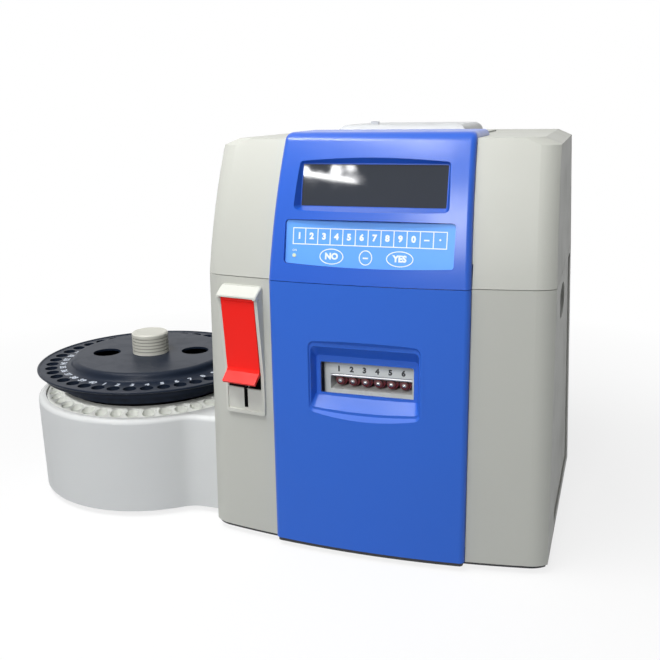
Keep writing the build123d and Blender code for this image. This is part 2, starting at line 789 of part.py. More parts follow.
# Printer lid: rounded ends, a slot for the paper, a round rear edge about its hinge
def make_printer_lid():
    lid_axis = (lid_low + lid_high) / 2
    nose = (lid_high - lid_low) / 2
    with BuildPart() as printer_lid:
        with BuildSketch(side(-lid_half)) as profile:
            with BuildLine():
                Polyline((lid_hinge_back, lid_high), (lid_front + 7, lid_high))
                ThreePointArc((lid_front + 7, lid_high), (lid_front + 1.9, lid_high - 2.2),
                              (lid_front, lid_low + 0.4))
                Polyline((lid_front, lid_low + 0.4), (lid_front, lid_low), (lid_hinge_back, lid_low))
                ThreePointArc((lid_hinge_back, lid_low), (lid_hinge_back + nose, lid_axis),
                              (lid_hinge_back, lid_high))
            make_face()
        extrude(profile.sketch, amount=2 * lid_half)
        with BuildSketch(front(lid_front - 1)) as ends:
            with BuildLine():
                Polyline((-lid_half + 9, lid_high), (lid_half - 9, lid_high))
                ThreePointArc((lid_half - 9, lid_high), (lid_half - 3, lid_high - 2.4),
                              (lid_half, lid_low))
                Polyline((lid_half, lid_low), (-lid_half, lid_low))
                ThreePointArc((-lid_half, lid_low), (-lid_half + 3, lid_high - 2.4),
                              (-lid_half + 9, lid_high))
            make_face()
        extrude(ends.sketch, amount=-120, mode=Mode.INTERSECT)
        block(-lid_half + 8, lid_half - 8, lid_front + 4, lid_hinge_back - 6, lid_low - 1,
              lid_high - lid_thick, mode=Mode.SUBTRACT)
        block(-roll_width / 2 - 1.5, roll_width / 2 + 1.5, lid_front + 14, lid_front + 20,
              lid_low - 1, lid_high + 1, mode=Mode.SUBTRACT)
        for left in (-46.6, 39.4):
            block(left, left + 7.2, lid_hinge_back - 4.2, lid_hinge_back + 6, lid_low - 1, lid_high + 1,
                  mode=Mode.SUBTRACT)
        cylinder(side(-52), lid_hinge_back, lid_axis, lid_pin + pin_clearance, 104, mode=Mode.SUBTRACT)
        block(-32.5, -21.5, lid_front + 7, lid_front + 15.5, lid_high - 1.6, lid_high + 1,
              mode=Mode.SUBTRACT)
        block(-29.5, -24.5, lid_front + 9, lid_front + 14.0, lid_low - 1, lid_high, mode=Mode.SUBTRACT)
    save(printer_lid, "printer_lid")


def make_lid_pins():
    lid_axis = (lid_low + lid_high) / 2
    with BuildPart() as lid_pins:
        for left in (-51.5, 34.5):
            cylinder(side(left), lid_hinge_back, lid_axis, lid_pin, 17)
    save(lid_pins, "lid_pins")


# Latch tab in the lid: slides back to let the lid go
def make_lid_latch():
    with BuildPart() as lid_latch:
        block(-32.2, -21.8, lid_front + 7.4, lid_front + 11.8, lid_high - 1.4, lid_high - 0.2)
        block(-30.8, -23.2, lid_front + 7.8, lid_front + 10.8, lid_high - 1.4, lid_high + 3.0)
        block(-29.0, -25.0, lid_front + 9.4, lid_front + 11.4, lid_low + 1.0, lid_high - 1.0)
    save(lid_latch, "lid_latch")


# Thermal printer mechanism with its platen, and the paper roll on its spindle
def make_printer_works():
    platen_back = printer_front + 25.0
    platen_height = mech_top + 3.0
    with BuildPart() as printer_works:
        block(-36, 36, printer_front + 8.3, mech_rear, well_floor, mech_top, radius=2)
        for left in (-35, 31):
            block(left, left + 4, platen_back - 8, platen_back + 8, mech_top, mech_top + 6)
        cylinder(side(-40), platen_back, platen_height, 6.0, 80, mode=Mode.SUBTRACT)
        for left in (-35, 31):
            with BuildSketch(side(left)) as eye:
                with Locations((platen_back, platen_height)):
                    Circle(6.4)
                    Circle(2.0 + pin_clearance, mode=Mode.SUBTRACT)
            extrude(eye.sketch, amount=4)
    save(printer_works, "printer_works")
    with BuildPart() as platen:
        cylinder(side(-30.5), platen_back, platen_height, 5.4, 61)
        cylinder(side(-35.5), platen_back, platen_height, 2.0, 71)
    save(platen, "platen")
    with BuildPart() as paper_roll:
        with BuildSketch(side(-roll_width / 2)) as ring:
            with Locations((roll_back, roll_height)):
                Circle(roll_radius)
                Circle(6.0, mode=Mode.SUBTRACT)
        extrude(ring.sketch, amount=roll_width)
    save(paper_roll, "paper_roll")
    with BuildPart() as roll_spindle:
        cylinder(side(-roll_width / 2 - 8), roll_back, roll_height, spindle_radius, roll_width + 16)
        cylinder(side(-roll_width / 2), roll_back, roll_height, 6.0, roll_width)
    save(roll_spindle, "roll_spindle")


def make_display():
    glass = tilted(glass_back, glass_middle, glass_tilt)
    with BuildPart() as display_window:
        with BuildSketch(glass.offset(-2)) as pane:
            Rectangle(glass_width - 0.4, glass_height - 0.4)
        extrude(pane.sketch, amount=2)
    save(display_window, "display_window")
    with BuildPart() as lcd_module:
        with BuildSketch(glass.offset(-11)) as frame:
            Rectangle(glass_width + 10, glass_height + 16)
        extrude(frame.sketch, amount=7)
        with BuildSketch(glass.offset(-4)) as cell:
            Rectangle(glass_width - 1, glass_height - 1)
        extrude(cell.sketch, amount=2)
        with BuildSketch(glass.offset(-12.6)) as board:
            Rectangle(glass_width + 14, glass_height + 20)
        extrude(board.sketch, amount=1.6)
    save(lcd_module, "lcd_module")


keypad_thick = 1.0


def make_keypad():
    keys = tilted(keypad_back, keypad_middle, keypad_tilt)
    with BuildPart() as keypad:
        extrude(recess_outline(keys, keypad_width - 0.8, keypad_height - 0.8, keypad_arch, 2.6, -1),
                amount=keypad_thick)
    save(keypad, "keypad")
    with BuildPart() as status_lamp:
        with BuildSketch(keys.offset(keypad_thick)) as lens:
            with Locations((-66, -12)):
                Circle(1.7)
        extrude(lens.sketch, amount=0.6)
    save(status_lamp, "status_lamp")


# Reagent bay: a sleeve open to the right, and the pack that slides out of it
pack_inset = 1.5
pack_gap = 0.6


def make_reagent():
    outer = half_foot
    with BuildPart() as reagent_bay:
        block(bay_left, outer, bay_front, bay_rear, bay_low, bay_high)
        add(lower_form(foot_height, seam_height, wall + 0.4), mode=Mode.INTERSECT)
        block(bay_left + 2, outer + 5, bay_front + 2, bay_rear - 2, bay_low + 2, bay_high - 2,
              mode=Mode.SUBTRACT)
        block(bay_left + 4, bay_left + 10, bay_front - 1, bay_front + 1.5, bay_low - 5, bay_low + 1)
    save(reagent_bay, "reagent_bay")
    face_low = bay_low + pack_gap
    face_high = bay_high - pack_gap
    with BuildPart() as reagent_pack:
        block(bay_left + 14, outer, bay_front + 2 + pack_gap, bay_rear - 2 - pack_gap,
              bay_low + 2 + pack_gap, bay_high - 2 - pack_gap, radius=5)
        with BuildPart(mode=Mode.PRIVATE) as face:
            with BuildSketch(side(half_foot - 40)) as plate:
                with Locations(((bay_front + bay_rear) / 2, (face_low + face_high) / 2)):
                    RectangleRounded(bay_rear - bay_front - 2 * pack_gap, face_high - face_low,
                                     6 - pack_gap)
            extrude(plate.sketch, amount=40)
            add(lower_form(foot_height, seam_height, wall + 0.2), mode=Mode.SUBTRACT)
        add(face.part)
        add(lower_form(foot_height, seam_height, pack_inset), mode=Mode.INTERSECT)
        with BuildSketch(side(half_foot + 22)) as grip:
            with Locations((bay_front + 62, 218)):
                Ellipse(50, 26)
        with BuildSketch(side(half_foot - 24)) as grip_floor:
            with Locations((bay_front + 62, 224)):
                Ellipse(34, 10)
        loft(sections=[grip.sketch, grip_floor.sketch], mode=Mode.SUBTRACT)
    save(reagent_pack, "reagent_pack")
    with BuildPart() as pack_nipples:
        with BuildSketch(side(bay_left + 8)) as row:
            with Locations(((bay_front + bay_rear) / 2, 60)):
                with GridLocations(22, 0, 6, 1):
                    Circle(3.0)
        extrude(row.sketch, amount=6)
    save(pack_nipples, "pack_nipples")
    with BuildPart() as bay_coupler:
        block(bay_left + 2, bay_left + 9, 76, 222, 50, 70, radius=3)
        with BuildSketch(side(bay_left + 7)) as sockets:
            with Locations(((bay_front + bay_rear) / 2, 60)):
                with GridLocations(22, 0, 6, 1):
                    Circle(3.0 + pin_clearance)
        extrude(sockets.sketch, amount=4, mode=Mode.SUBTRACT)
    save(bay_coupler, "bay_coupler")


# Main board on standoffs from the bay's left wall, and the power supply on the tray
def make_electronics():
    board_x = bay_left - 8.6
    with BuildPart() as main_board:
        block(board_x, board_x + 1.6, 78, 228, 60, 200)
        for back, height, deep, tall, thick in ((110, 150, 26, 26, 4), (170, 160, 34, 14, 8),
                                                (150, 95, 18, 18, 3), (205, 90, 12, 40, 9)):
            block(board_x - thick, board_x, back - deep / 2, back + deep / 2, height - tall / 2,
                  height + tall / 2)
    save(main_board, "main_board")
    with BuildPart() as board_standoffs:
        with BuildSketch(side(board_x + 1.6)) as posts:
            with Locations((153, 130)):
                with GridLocations(138, 128, 2, 2):
                    Circle(2.8)
        extrude(posts.sketch, amount=bay_left - board_x - 1.6)
    save(board_standoffs, "board_standoffs")
    with BuildPart() as power_supply:
        block(-150, -88, 60, 185, foot_height, 52)
        with BuildSketch(level(51)) as vents:
            with Locations((-119, 122)):
                with GridLocations(0, 12, 1, 9):
                    SlotOverall(44, 4)
        extrude(vents.sketch, amount=2, mode=Mode.SUBTRACT)
    save(power_supply, "power_supply")


# Rear service plate with mains inlet, power switch, serial port and fan
inlet_x = 32.0 - rear_half
inlet_z = 46.0
switch_x = inlet_x + 38.0
serial_x = switch_x + 48.0
fan_x = 60.0
fan_z = 190.0
plate_back = body_depth - 3.4
plate_thick = 2.0


def make_rear():
    rocker_half = 8.0
    with BuildPart() as rear_plate:
        block(-rear_half + clearance, rear_half - clearance, plate_back - plate_thick, plate_back,
              rear_low + clearance, rear_high - clearance)
        block(-rear_half - 6, rear_half + 6, plate_back - plate_thick - 0.2, plate_back - plate_thick,
              rear_low + 2, rear_high - 2)
        with BuildSketch(front(plate_back + 1)) as cuts:
            with Locations((inlet_x, inlet_z)):
                Rectangle(27.4, 20.4)
            with Locations((switch_x, inlet_z)):
                Rectangle(15.4, 21.4)
            with Locations((serial_x, inlet_z)):
                Rectangle(20.4, 10.4)
            with Locations((fan_x, fan_z)):
                with GridLocations(0, 8, 1, 7):
                    SlotOverall(56, 4)
        extrude(cuts.sketch, amount=20, mode=Mode.SUBTRACT)
    save(rear_plate, "rear_plate")
    with BuildPart() as mains_inlet:
        block(inlet_x - 13.5, inlet_x + 13.5, plate_back - 20, plate_back + 0.2, inlet_z - 10,
              inlet_z + 10)
        block(inlet_x - 17, inlet_x + 17, plate_back, plate_back + 2.4, inlet_z - 14, inlet_z + 14)
        block(inlet_x - 12, inlet_x + 12, plate_back - 13, plate_back + 4, inlet_z - 8.5, inlet_z + 8.5,
              mode=Mode.SUBTRACT)
        for across, up in ((-7, -2), (0, 2), (7, -2)):
            block(inlet_x + across - 1, inlet_x + across + 1, plate_back - 14, plate_back - 1,
                  inlet_z + up - 2, inlet_z + up + 2)
    save(mains_inlet, "mains_inlet")
    with BuildPart() as switch_frame:
        block(switch_x - 7.5, switch_x + 7.5, plate_back - 18, plate_back + 1.6, inlet_z - 10.5,
              inlet_z + 10.5)
        block(switch_x - 9.5, switch_x + 9.5, plate_back, plate_back + 1.6, inlet_z - 13, inlet_z + 13)
        block(switch_x - 5.6, switch_x + 5.6, plate_back - 12, plate_back + 4, inlet_z - 9.6,
              inlet_z + 9.6, mode=Mode.SUBTRACT)
        cylinder(side(switch_x - 7), plate_back - 4, inlet_z, 1.2, 14, mode=Mode.SUBTRACT)
    save(switch_frame, "switch_frame")
    with BuildPart() as rocker:
        with BuildSketch(side(switch_x - 5.2)) as profile:
            Polygon((plate_back - 8.0, inlet_z - 4), (plate_back + 2.6, inlet_z - rocker_half),
                    (plate_back + 0.2, inlet_z), (plate_back + 0.2, inlet_z + rocker_half - 0.4),
                    (plate_back - 3.6, inlet_z + rocker_half - 0.4), (plate_back - 8.0, inlet_z + 4),
                    align=None)
        extrude(profile.sketch, amount=10.4)
        cylinder(side(switch_x - 6), plate_back - 4, inlet_z, 1.2 + pin_clearance, 12, mode=Mode.SUBTRACT)
    save(rocker, "rocker")
    with BuildPart() as rocker_pin:
        cylinder(side(switch_x - 7), plate_back - 4, inlet_z, 1.2, 14)
    save(rocker_pin, "rocker_pin")
    with BuildPart() as serial_port:
        block(serial_x - 10, serial_x + 10, plate_back - 12, plate_back + 0.2, inlet_z - 5, inlet_z + 5)
        block(serial_x - 15.4, serial_x + 15.4, plate_back, plate_back + 1.0, inlet_z - 6.3, inlet_z + 6.3)
        block(serial_x - 8, serial_x + 8, plate_back - 6, plate_back + 3, inlet_z - 3.6, inlet_z + 3.6,
              mode=Mode.SUBTRACT)
    save(serial_port, "serial_port")
    with BuildPart() as fan:
        block(fan_x - 30, fan_x + 30, plate_back - plate_thick - 15.2, plate_back - plate_thick - 0.2,
              fan_z - 30, fan_z + 30)
        cylinder(front(plate_back), fan_x, fan_z, 28, 30, mode=Mode.SUBTRACT)
        cylinder(front(plate_back - plate_thick - 11), fan_x, fan_z, 13, 4.2)
        with BuildSketch(front(plate_back - plate_thick - 11)) as struts:
            with Locations((fan_x, fan_z)):
                Rectangle(58, 3)
                Rectangle(3, 58)
        extrude(struts.sketch, amount=4.2)
    save(fan, "fan")


# Sampler housing: drum with a neck to the analyser, a well for the turntable
neck_half = 0.7 * drum_radius
sampler_low = 6.0
deck_height = 88.0
well_radius = drum_radius - 8.1


def sampler_plan(z, inset):
    reach = sampler_left - half_foot - sliding_gap + (drum_top - sampler_low) * tan(radians(drum_draft))
    with BuildSketch(deck(z)) as plan:
        Circle(drum_radius)
        with Locations((reach / 2, 0)):
            Rectangle(reach, 2 * neck_half)
        waist = plan.vertices().filter_by_position(Axis.X, drum_radius * 0.5, reach - 1)
        fillet(waist, 26)
        if inset:
            offset(amount=-inset, mode=Mode.REPLACE)
    return plan.sketch


def make_sampler():
    with BuildPart() as sampler_housing:
        extrude(sampler_plan(drum_top, 0), amount=-(drum_top - sampler_low), taper=drum_draft)
        fillet(sampler_housing.edges().group_by(Axis.Z)[-1], drum_round)
        extrude(sampler_plan(sampler_low - 1, wall + 1.8), amount=deck_height - wall - sampler_low + 1,
                mode=Mode.SUBTRACT)
        with BuildSketch(deck(deck_height)) as well:
            Circle(well_radius)
        extrude(well.sketch, amount=40, mode=Mode.SUBTRACT)
        with BuildSketch(deck(deck_height - 10)) as hole:
            Circle(11)
        extrude(hole.sketch, amount=20, mode=Mode.SUBTRACT)
    save(sampler_housing, "sampler_housing")
    with BuildPart() as sampler_base:
        extrude(sampler_plan(sampler_low, wall + 2.1), amount=3)
    save(sampler_base, "sampler_base")
    with BuildPart() as sampler_feet:
        with BuildSketch(Plane((sampler_x, sampler_y, 0))) as pads:
            with PolarLocations(95, 4, start_angle=45):
                Circle(8)
        extrude(pads.sketch, amount=sampler_low)
        chamfer(sampler_feet.edges().group_by(Axis.Z)[0], 1.2)
    save(sampler_feet, "sampler_feet")
    with BuildPart() as spindle_bearing:
        with BuildSketch(deck(deck_height - wall - 8)) as ring:
            Circle(17)
            Circle(5 + pin_clearance, mode=Mode.SUBTRACT)
        extrude(ring.sketch, amount=8)
        with BuildSketch(deck(deck_height - wall)) as spigot:
            Circle(10.9)
            Circle(5 + pin_clearance, mode=Mode.SUBTRACT)
        extrude(spigot.sketch, amount=wall)
    save(spindle_bearing, "spindle_bearing")
    with BuildPart() as drive_motor:
        with BuildSketch(deck(sampler_low + 3)) as body:
            RectangleRounded(56, 56, 5)
        extrude(body.sketch, amount=deck_height - wall - 8 - sampler_low - 3)
    save(drive_motor, "drive_motor")


# Turntable: spindle, plate and hub that turn, with the scalloped cup ring on the plate
hub_radius = 9.9
plate_top = 92.0
ring_inner = cup_circle - 17.6
ring_outer = well_radius - 1.1


def make_turntable():
    with BuildPart() as turntable:
        with BuildSketch(deck(deck_height - wall - 7)) as spindle:
            Circle(5)
        extrude(spindle.sketch, amount=wall + 9)
        with BuildSketch(deck(deck_height + 1)) as plate:
            Circle(ring_outer)
        extrude(plate.sketch, amount=plate_top - deck_height - 1)
        with BuildSketch(deck(plate_top)) as hub:
            Circle(17)
        extrude(hub.sketch, amount=23)
        with BuildSketch(deck(plate_top)) as pilot:
            Circle(hub_radius)
        extrude(pilot.sketch, amount=42)
    save(turntable, "turntable")
    with BuildPart() as cup_ring:
        with BuildSketch(Plane(origin=(sampler_x, sampler_y, 0), x_dir=(1, 0, 0), z_dir=(0, -1, 0))) as half:
            with BuildLine():
                Polyline((ring_inner, plate_top), (ring_outer, plate_top), (ring_outer, drum_top - 1.6),
                         (ring_inner + 8, drum_top + 2.6), (ring_inner, drum_top + 3.2),
                         (ring_inner, plate_top))
            make_face()
        revolve(half.sketch, axis=Axis((sampler_x, sampler_y, 0), (0, 0, 1)), revolution_arc=360)
        with BuildSketch(deck(drum_top - 4.5)) as cups:
            with PolarLocations(cup_circle - 2.4, cup_count):
                Circle(cup_hole / 2 - 0.3)
        extrude(cups.sketch, amount=20, mode=Mode.SUBTRACT)
    save(cup_ring, "cup_ring")


skirt_drop = 19.3
well_drop = 7.5
dome_rise = 8.5


# Sample disc: flange with cup wells, raised rim, dome, skirt and hub
def make_sample_disc():
    plane = Plane(origin=(sampler_x, sampler_y, 0), x_dir=(1, 0, 0), z_dir=(0, -1, 0))
    z = disc_height
    bore = hub_radius + pin_clearance
    skirt_radius = cup_circle - 9.0
    dome_foot = skirt_radius - 7.6
    dome_top = dome_foot - 10.5
    with BuildPart() as sample_disc:
        with BuildSketch(plane) as half:
            with BuildLine():
                Polyline((dome_top, z + dome_rise), (bore, z + dome_rise), (bore, plate_top + 23.3),
                         (16, plate_top + 23.3), (16, z + dome_rise - 2.3),
                         (dome_top - 2, z + dome_rise - 2.3), (dome_foot - 3, z - 1.6),
                         (skirt_radius - 2, z - 1.6), (skirt_radius - 2, z - skirt_drop),
                         (skirt_radius, z - skirt_drop), (skirt_radius, z - well_drop),
                         (cup_circle + 8.6, z - well_drop), (cup_circle + 8.6, z - 1.8),
                         (disc_radius - 0.8, z - 1.8))
                Polyline((disc_radius - 0.8, z - 1.8), (disc_radius, z - 1), (disc_radius, z + 0.2),
                         (disc_radius - 0.6, z + 0.8), (disc_radius - 2, z + 0.8), (disc_radius - 2.6, z),
                         (dome_foot, z))
                middle = ((dome_foot + dome_top) / 2, z + dome_rise / 2)
                TangentArc((dome_foot, z), middle, tangent=(-1, 0))
                TangentArc((dome_top, z + dome_rise), middle, tangent=(1, 0))
            make_face()
        revolve(half.sketch, axis=Axis((sampler_x, sampler_y, 0), (0, 0, 1)), revolution_arc=360)
        with BuildSketch(deck(z - 9)) as holes:
            with PolarLocations(cup_circle, cup_count):
                Circle(cup_hole / 2)
            with PolarLocations(49, 2, start_angle=20):
                Circle(15)
        extrude(holes.sketch, amount=20, mode=Mode.SUBTRACT)
    save(sample_disc, "sample_disc")


knob_radius = 19.8
knob_high = disc_height + 31.6
knob_groove = 0.9


# Knob in the middle of the disc, grooved for the fingers and dished on top
def make_knob():
    plane = Plane(origin=(sampler_x, sampler_y, 0), x_dir=(1, 0, 0), z_dir=(0, -1, 0))
    low = disc_height + dome_rise
    with BuildPart() as knob:
        with BuildSketch(plane) as half:
            Polygon((0, low), (knob_radius, low), (knob_radius, knob_high - 1.5),
                    (knob_radius - 1.5, knob_high), (15, knob_high - 0.4), (0, knob_high - 1.4), align=None)
            with Locations((knob_radius, (low + knob_high) / 2 - 0.6)):
                with GridLocations(0, 3.5, 1, 5):
                    Rectangle(2 * knob_groove, knob_groove, mode=Mode.SUBTRACT)
        revolve(half.sketch, axis=Axis((sampler_x, sampler_y, 0), (0, 0, 1)), revolution_arc=360)
    save(knob, "knob")


for make in (make_lower_housing, make_upper_housing, make_display_bezel, make_door, make_door_pins,
             make_base_tray, make_feet, make_service_panel, make_electrode_cell, make_electrodes,
             make_clamp_rod, make_pump, make_valve, make_tubing, make_port_frame, make_flap,
             make_flap_pin, make_needle_arm, make_needle_pin, make_printer_tray, make_printer_lid,
             make_lid_pins, make_lid_latch, make_printer_works, make_display, make_keypad,
             make_reagent, make_electronics, make_rear, make_sampler, make_turntable,
             make_sample_disc, make_knob):
    make()
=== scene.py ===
import math

import bmesh
import bpy
from mathutils import Matrix, Vector


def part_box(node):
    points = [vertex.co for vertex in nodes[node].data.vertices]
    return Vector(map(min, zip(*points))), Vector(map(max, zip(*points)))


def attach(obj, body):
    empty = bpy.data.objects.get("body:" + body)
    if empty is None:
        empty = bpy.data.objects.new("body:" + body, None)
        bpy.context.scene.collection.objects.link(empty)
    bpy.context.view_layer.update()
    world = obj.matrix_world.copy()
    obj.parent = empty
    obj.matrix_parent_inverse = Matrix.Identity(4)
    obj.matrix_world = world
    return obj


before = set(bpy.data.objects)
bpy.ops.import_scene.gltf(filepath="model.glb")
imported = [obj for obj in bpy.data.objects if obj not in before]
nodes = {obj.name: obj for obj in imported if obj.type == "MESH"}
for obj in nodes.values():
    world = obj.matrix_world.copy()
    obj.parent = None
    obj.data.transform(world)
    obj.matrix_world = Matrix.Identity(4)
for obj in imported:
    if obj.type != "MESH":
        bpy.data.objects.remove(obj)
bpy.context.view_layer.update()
print("frame loaded:", len(nodes), "nodes")


def linear(red, green, blue):  # a paint chip's 0-255 values as scene colour
    def channel(value):
        value /= 255
        return value / 12.92 if value <= 0.04045 else ((value + 0.055) / 1.055) ** 2.4
    return (channel(red), channel(green), channel(blue), 1)


def centreOf(node):
    low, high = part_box(node)
    return (low + high) / 2


def pointed(place, xDir, zDir):  # matrix of a sketch plane: x across, z out of the face
    zAxis = Vector(zDir).normalized()
    xAxis = Vector(xDir).normalized()
    yAxis = zAxis.cross(xAxis)
    turn = Matrix((xAxis, yAxis, zAxis)).transposed().to_4x4()
    return Matrix.Translation(place) @ turn


def frontFace(x, y, z):  # plane on the front, seen from before
    return pointed(Vector((x, y, z)), (1, 0, 0), (0, -1, 0))


def backFace(x, y, z):  # plane on the rear, seen from behind
    return pointed(Vector((x, y, z)), (-1, 0, 0), (0, 1, 0))


def shaded(mesh, angle):  # smooth faces with sharp edges above the angle
    mesh.polygons.foreach_set("use_smooth", [True] * len(mesh.polygons))
    mesh.set_sharp_from_angle(angle=math.radians(angle))


def piece(bm, name, material, body, place=None, angle=35):  # finished mesh, riding on its body
    if place is not None:
        bmesh.ops.transform(bm, matrix=place, verts=bm.verts)
    mesh = bpy.data.meshes.new(name)
    bm.to_mesh(mesh)
    bm.free()
    obj = bpy.data.objects.new(name, mesh)
    bpy.context.scene.collection.objects.link(obj)
    mesh.materials.append(material)
    shaded(mesh, angle)
    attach(obj, body)


def letters(words, size, thick, bold=0.0):  # one line of text as a flat solid, centred
    curve = bpy.data.curves.new("words", "FONT")
    curve.body = words
    curve.size = size
    curve.extrude = thick / 2
    curve.offset = bold
    curve.align_x = "CENTER"
    curve.align_y = "CENTER"
    curve.resolution_u = 3
    obj = bpy.data.objects.new("words", curve)
    bpy.context.scene.collection.objects.link(obj)
    bpy.context.view_layer.update()
    mesh = bpy.data.meshes.new_from_object(obj)
    bpy.data.objects.remove(obj)
    bpy.data.curves.remove(curve)
    return mesh


def addLetters(bm, words, size, thick, place, bold=0.0):  # text as closed solids, set on its place
    mesh = letters(words, size, thick, bold)
    mesh.transform(place)
    glyphs = bmesh.new()
    glyphs.from_mesh(mesh)
    bmesh.ops.remove_doubles(glyphs, verts=glyphs.verts, dist=1e-6)
    bmesh.ops.recalc_face_normals(glyphs, faces=glyphs.faces)
    glyphs.to_mesh(mesh)
    glyphs.free()
    bm.from_mesh(mesh)
    bpy.data.meshes.remove(mesh)


def bar(bm, width, height, thick, place):  # a thin printed bar or plate, centred on its place
    made = bmesh.ops.create_cube(bm, size=1)["verts"]
    bmesh.ops.transform(bm, matrix=place @ Matrix.Diagonal((width, height, thick, 1)), verts=made)
    return made


def turned(bm, profile, place, steps):  # profile of (radius, height) pairs spun about the place's z axis
    ring = [bm.verts.new((radius, 0, height)) for radius, height in profile]
    line = [bm.edges.new(pair) for pair in zip(ring, ring[1:])]
    spun = bmesh.ops.spin(bm, geom=ring + line, axis=(0, 0, 1), cent=(0, 0, 0), angle=math.tau, steps=steps,
                          use_merge=True)
    verts = list({vert for item in spun["geom_last"] + ring if isinstance(item, bmesh.types.BMVert)
                  for vert in connected(item)})
    bmesh.ops.remove_doubles(bm, verts=verts, dist=1e-6)
    verts = [vert for vert in verts if vert.is_valid]
    faces = list({face for vert in verts for face in vert.link_faces})
    bmesh.ops.recalc_face_normals(bm, faces=faces)
    bmesh.ops.transform(bm, matrix=place, verts=verts)


def connected(start):  # every vertex joined to this one
    found = {start}
    edge = [start]
    while edge:
        vert = edge.pop()
        for link in vert.link_edges:
            other = link.other_vert(vert)
            if other not in found:
                found.add(other)
                edge.append(other)
    return found


def ringLine(bm, halfWide, halfTall, line, thick, place, steps=48):  # outline of an ellipse
    edge = bmesh.ops.create_circle(bm, segments=steps, radius=1, cap_ends=False)
    outer = edge["verts"]
    outerEdges = [e for e in bm.edges if e.verts[0] in outer]
    inner = bmesh.ops.duplicate(bm, geom=outer + outerEdges)["geom"]
    innerVerts = [g for g in inner if isinstance(g, bmesh.types.BMVert)]
    innerEdges = [g for g in inner if isinstance(g, bmesh.types.BMEdge)]
    bmesh.ops.transform(bm, matrix=Matrix.Diagonal((halfWide, halfTall, 1, 1)), verts=outer)
    bmesh.ops.transform(bm, matrix=Matrix.Diagonal((halfWide - line, halfTall - line, 1, 1)),
                        verts=innerVerts)
    faces = bmesh.ops.bridge_loops(bm, edges=outerEdges + innerEdges)["faces"]
    raised = bmesh.ops.extrude_face_region(bm, geom=faces)["geom"]
    top = [g for g in raised if isinstance(g, bmesh.types.BMVert)]
    bmesh.ops.translate(bm, vec=(0, 0, thick), verts=top)
    faces = {face for vert in top + outer for face in vert.link_faces}
    bmesh.ops.recalc_face_normals(bm, faces=list(faces))
    bmesh.ops.transform(bm, matrix=place, verts=outer + innerVerts + top)


def newGroup(name, inputs, outputs):
    group = bpy.data.node_groups.new(name, "ShaderNodeTree")
    for label, kind, value in inputs:
        socket = group.interface.new_socket(label, in_out="INPUT", socket_type=kind)
        socket.default_value = value
    for label, kind in outputs:
        group.interface.new_socket(label, in_out="OUTPUT", socket_type=kind)
    return group, group.nodes.new("NodeGroupInput"), group.nodes.new("NodeGroupOutput")


def noiseIn(tree, vector, scale, detail=2.0, stretch=None, distortion=0.0):  # scale: number or socket
    noise = tree.nodes.new("ShaderNodeTexNoise")
    noise.inputs["Detail"].default_value = detail
    noise.inputs["Distortion"].default_value = distortion
    if hasattr(scale, "is_linked"):
        tree.links.new(scale, noise.inputs["Scale"])
    else:
        noise.inputs["Scale"].default_value = scale
    if stretch:
        mapping = tree.nodes.new("ShaderNodeMapping")
        mapping.inputs["Scale"].default_value = stretch
        tree.links.new(vector, mapping.inputs["Vector"])
        vector = mapping.outputs["Vector"]
    tree.links.new(vector, noise.inputs["Vector"])
    return noise.outputs["Fac"]


def ranged(tree, value, fromLow, fromHigh, toLow, toHigh):  # a value brought from one range to another
    node = tree.nodes.new("ShaderNodeMapRange")
    node.inputs["From Min"].default_value = fromLow
    node.inputs["From Max"].default_value = fromHigh
    node.inputs["To Min"].default_value = toLow
    node.inputs["To Max"].default_value = toHigh
    tree.links.new(value, node.inputs["Value"])
    return node.outputs["Result"]


def mathNode(tree, operation, first, second):
    node = tree.nodes.new("ShaderNodeMath")
    node.operation = operation
    for index, item in enumerate((first, second)):
        if isinstance(item, (int, float)):
            node.inputs[index].default_value = item
        else:
            tree.links.new(item, node.inputs[index])
    return node.outputs["Value"]


def tinted(tree, colour, factor, shade):  # colour mixed towards a shade by a factor
    node = tree.nodes.new("ShaderNodeMix")
    node.data_type = "RGBA"
    node.inputs[7].default_value = shade
    tree.links.new(factor, node.inputs[0])
    if isinstance(colour, tuple):
        node.inputs[6].default_value = colour
    else:
        tree.links.new(colour, node.inputs[6])
    return node.outputs[2]


def mouldingGroup():  # moulded plastic: slow tone shifts, handling smudges, dust and a fine grain
    group, source, sink = newGroup("mouldedPlastic", [
        ("Color", "NodeSocketColor", (0.8, 0.8, 0.8, 1)),
        ("Variation", "NodeSocketFloat", 0.06),
        ("Dust", "NodeSocketFloat", 0.1),
        ("Grain Scale", "NodeSocketFloat", 1400.0),
    ], [("Color", "NodeSocketColor"), ("Smudge", "NodeSocketFloat"), ("Height", "NodeSocketFloat")])
    place = group.nodes.new("ShaderNodeTexCoord").outputs["Object"]
    slow = noiseIn(group, place, 7.0, 3.0)
    smudge = noiseIn(group, place, 38.0, 5.0, distortion=0.8)
    grain = noiseIn(group, place, source.outputs["Grain Scale"], 2.0)
    spread = ranged(group, slow, 0.3, 0.7, 0, 1)
    shade = mathNode(group, "MULTIPLY", spread, source.outputs["Variation"])
    toned = tinted(group, source.outputs["Color"], shade, (0.02, 0.02, 0.02, 1))
    geometry = group.nodes.new("ShaderNodeNewGeometry")
    split = group.nodes.new("ShaderNodeSeparateXYZ")
    group.links.new(geometry.outputs["Normal"], split.inputs[0])
    upward = ranged(group, split.outputs["Z"], 0.55, 1.0, 0, 1)
    speck = ranged(group, smudge, 0.45, 0.75, 0, 1)
    settled = mathNode(group, "MULTIPLY", upward, speck)
    settled = mathNode(group, "MULTIPLY", settled, source.outputs["Dust"])
    dusty = tinted(group, toned, settled, (0.62, 0.6, 0.56, 1))
    group.links.new(dusty, sink.inputs["Color"])
    group.links.new(speck, sink.inputs["Smudge"])
    group.links.new(grain, sink.inputs["Height"])
    return group


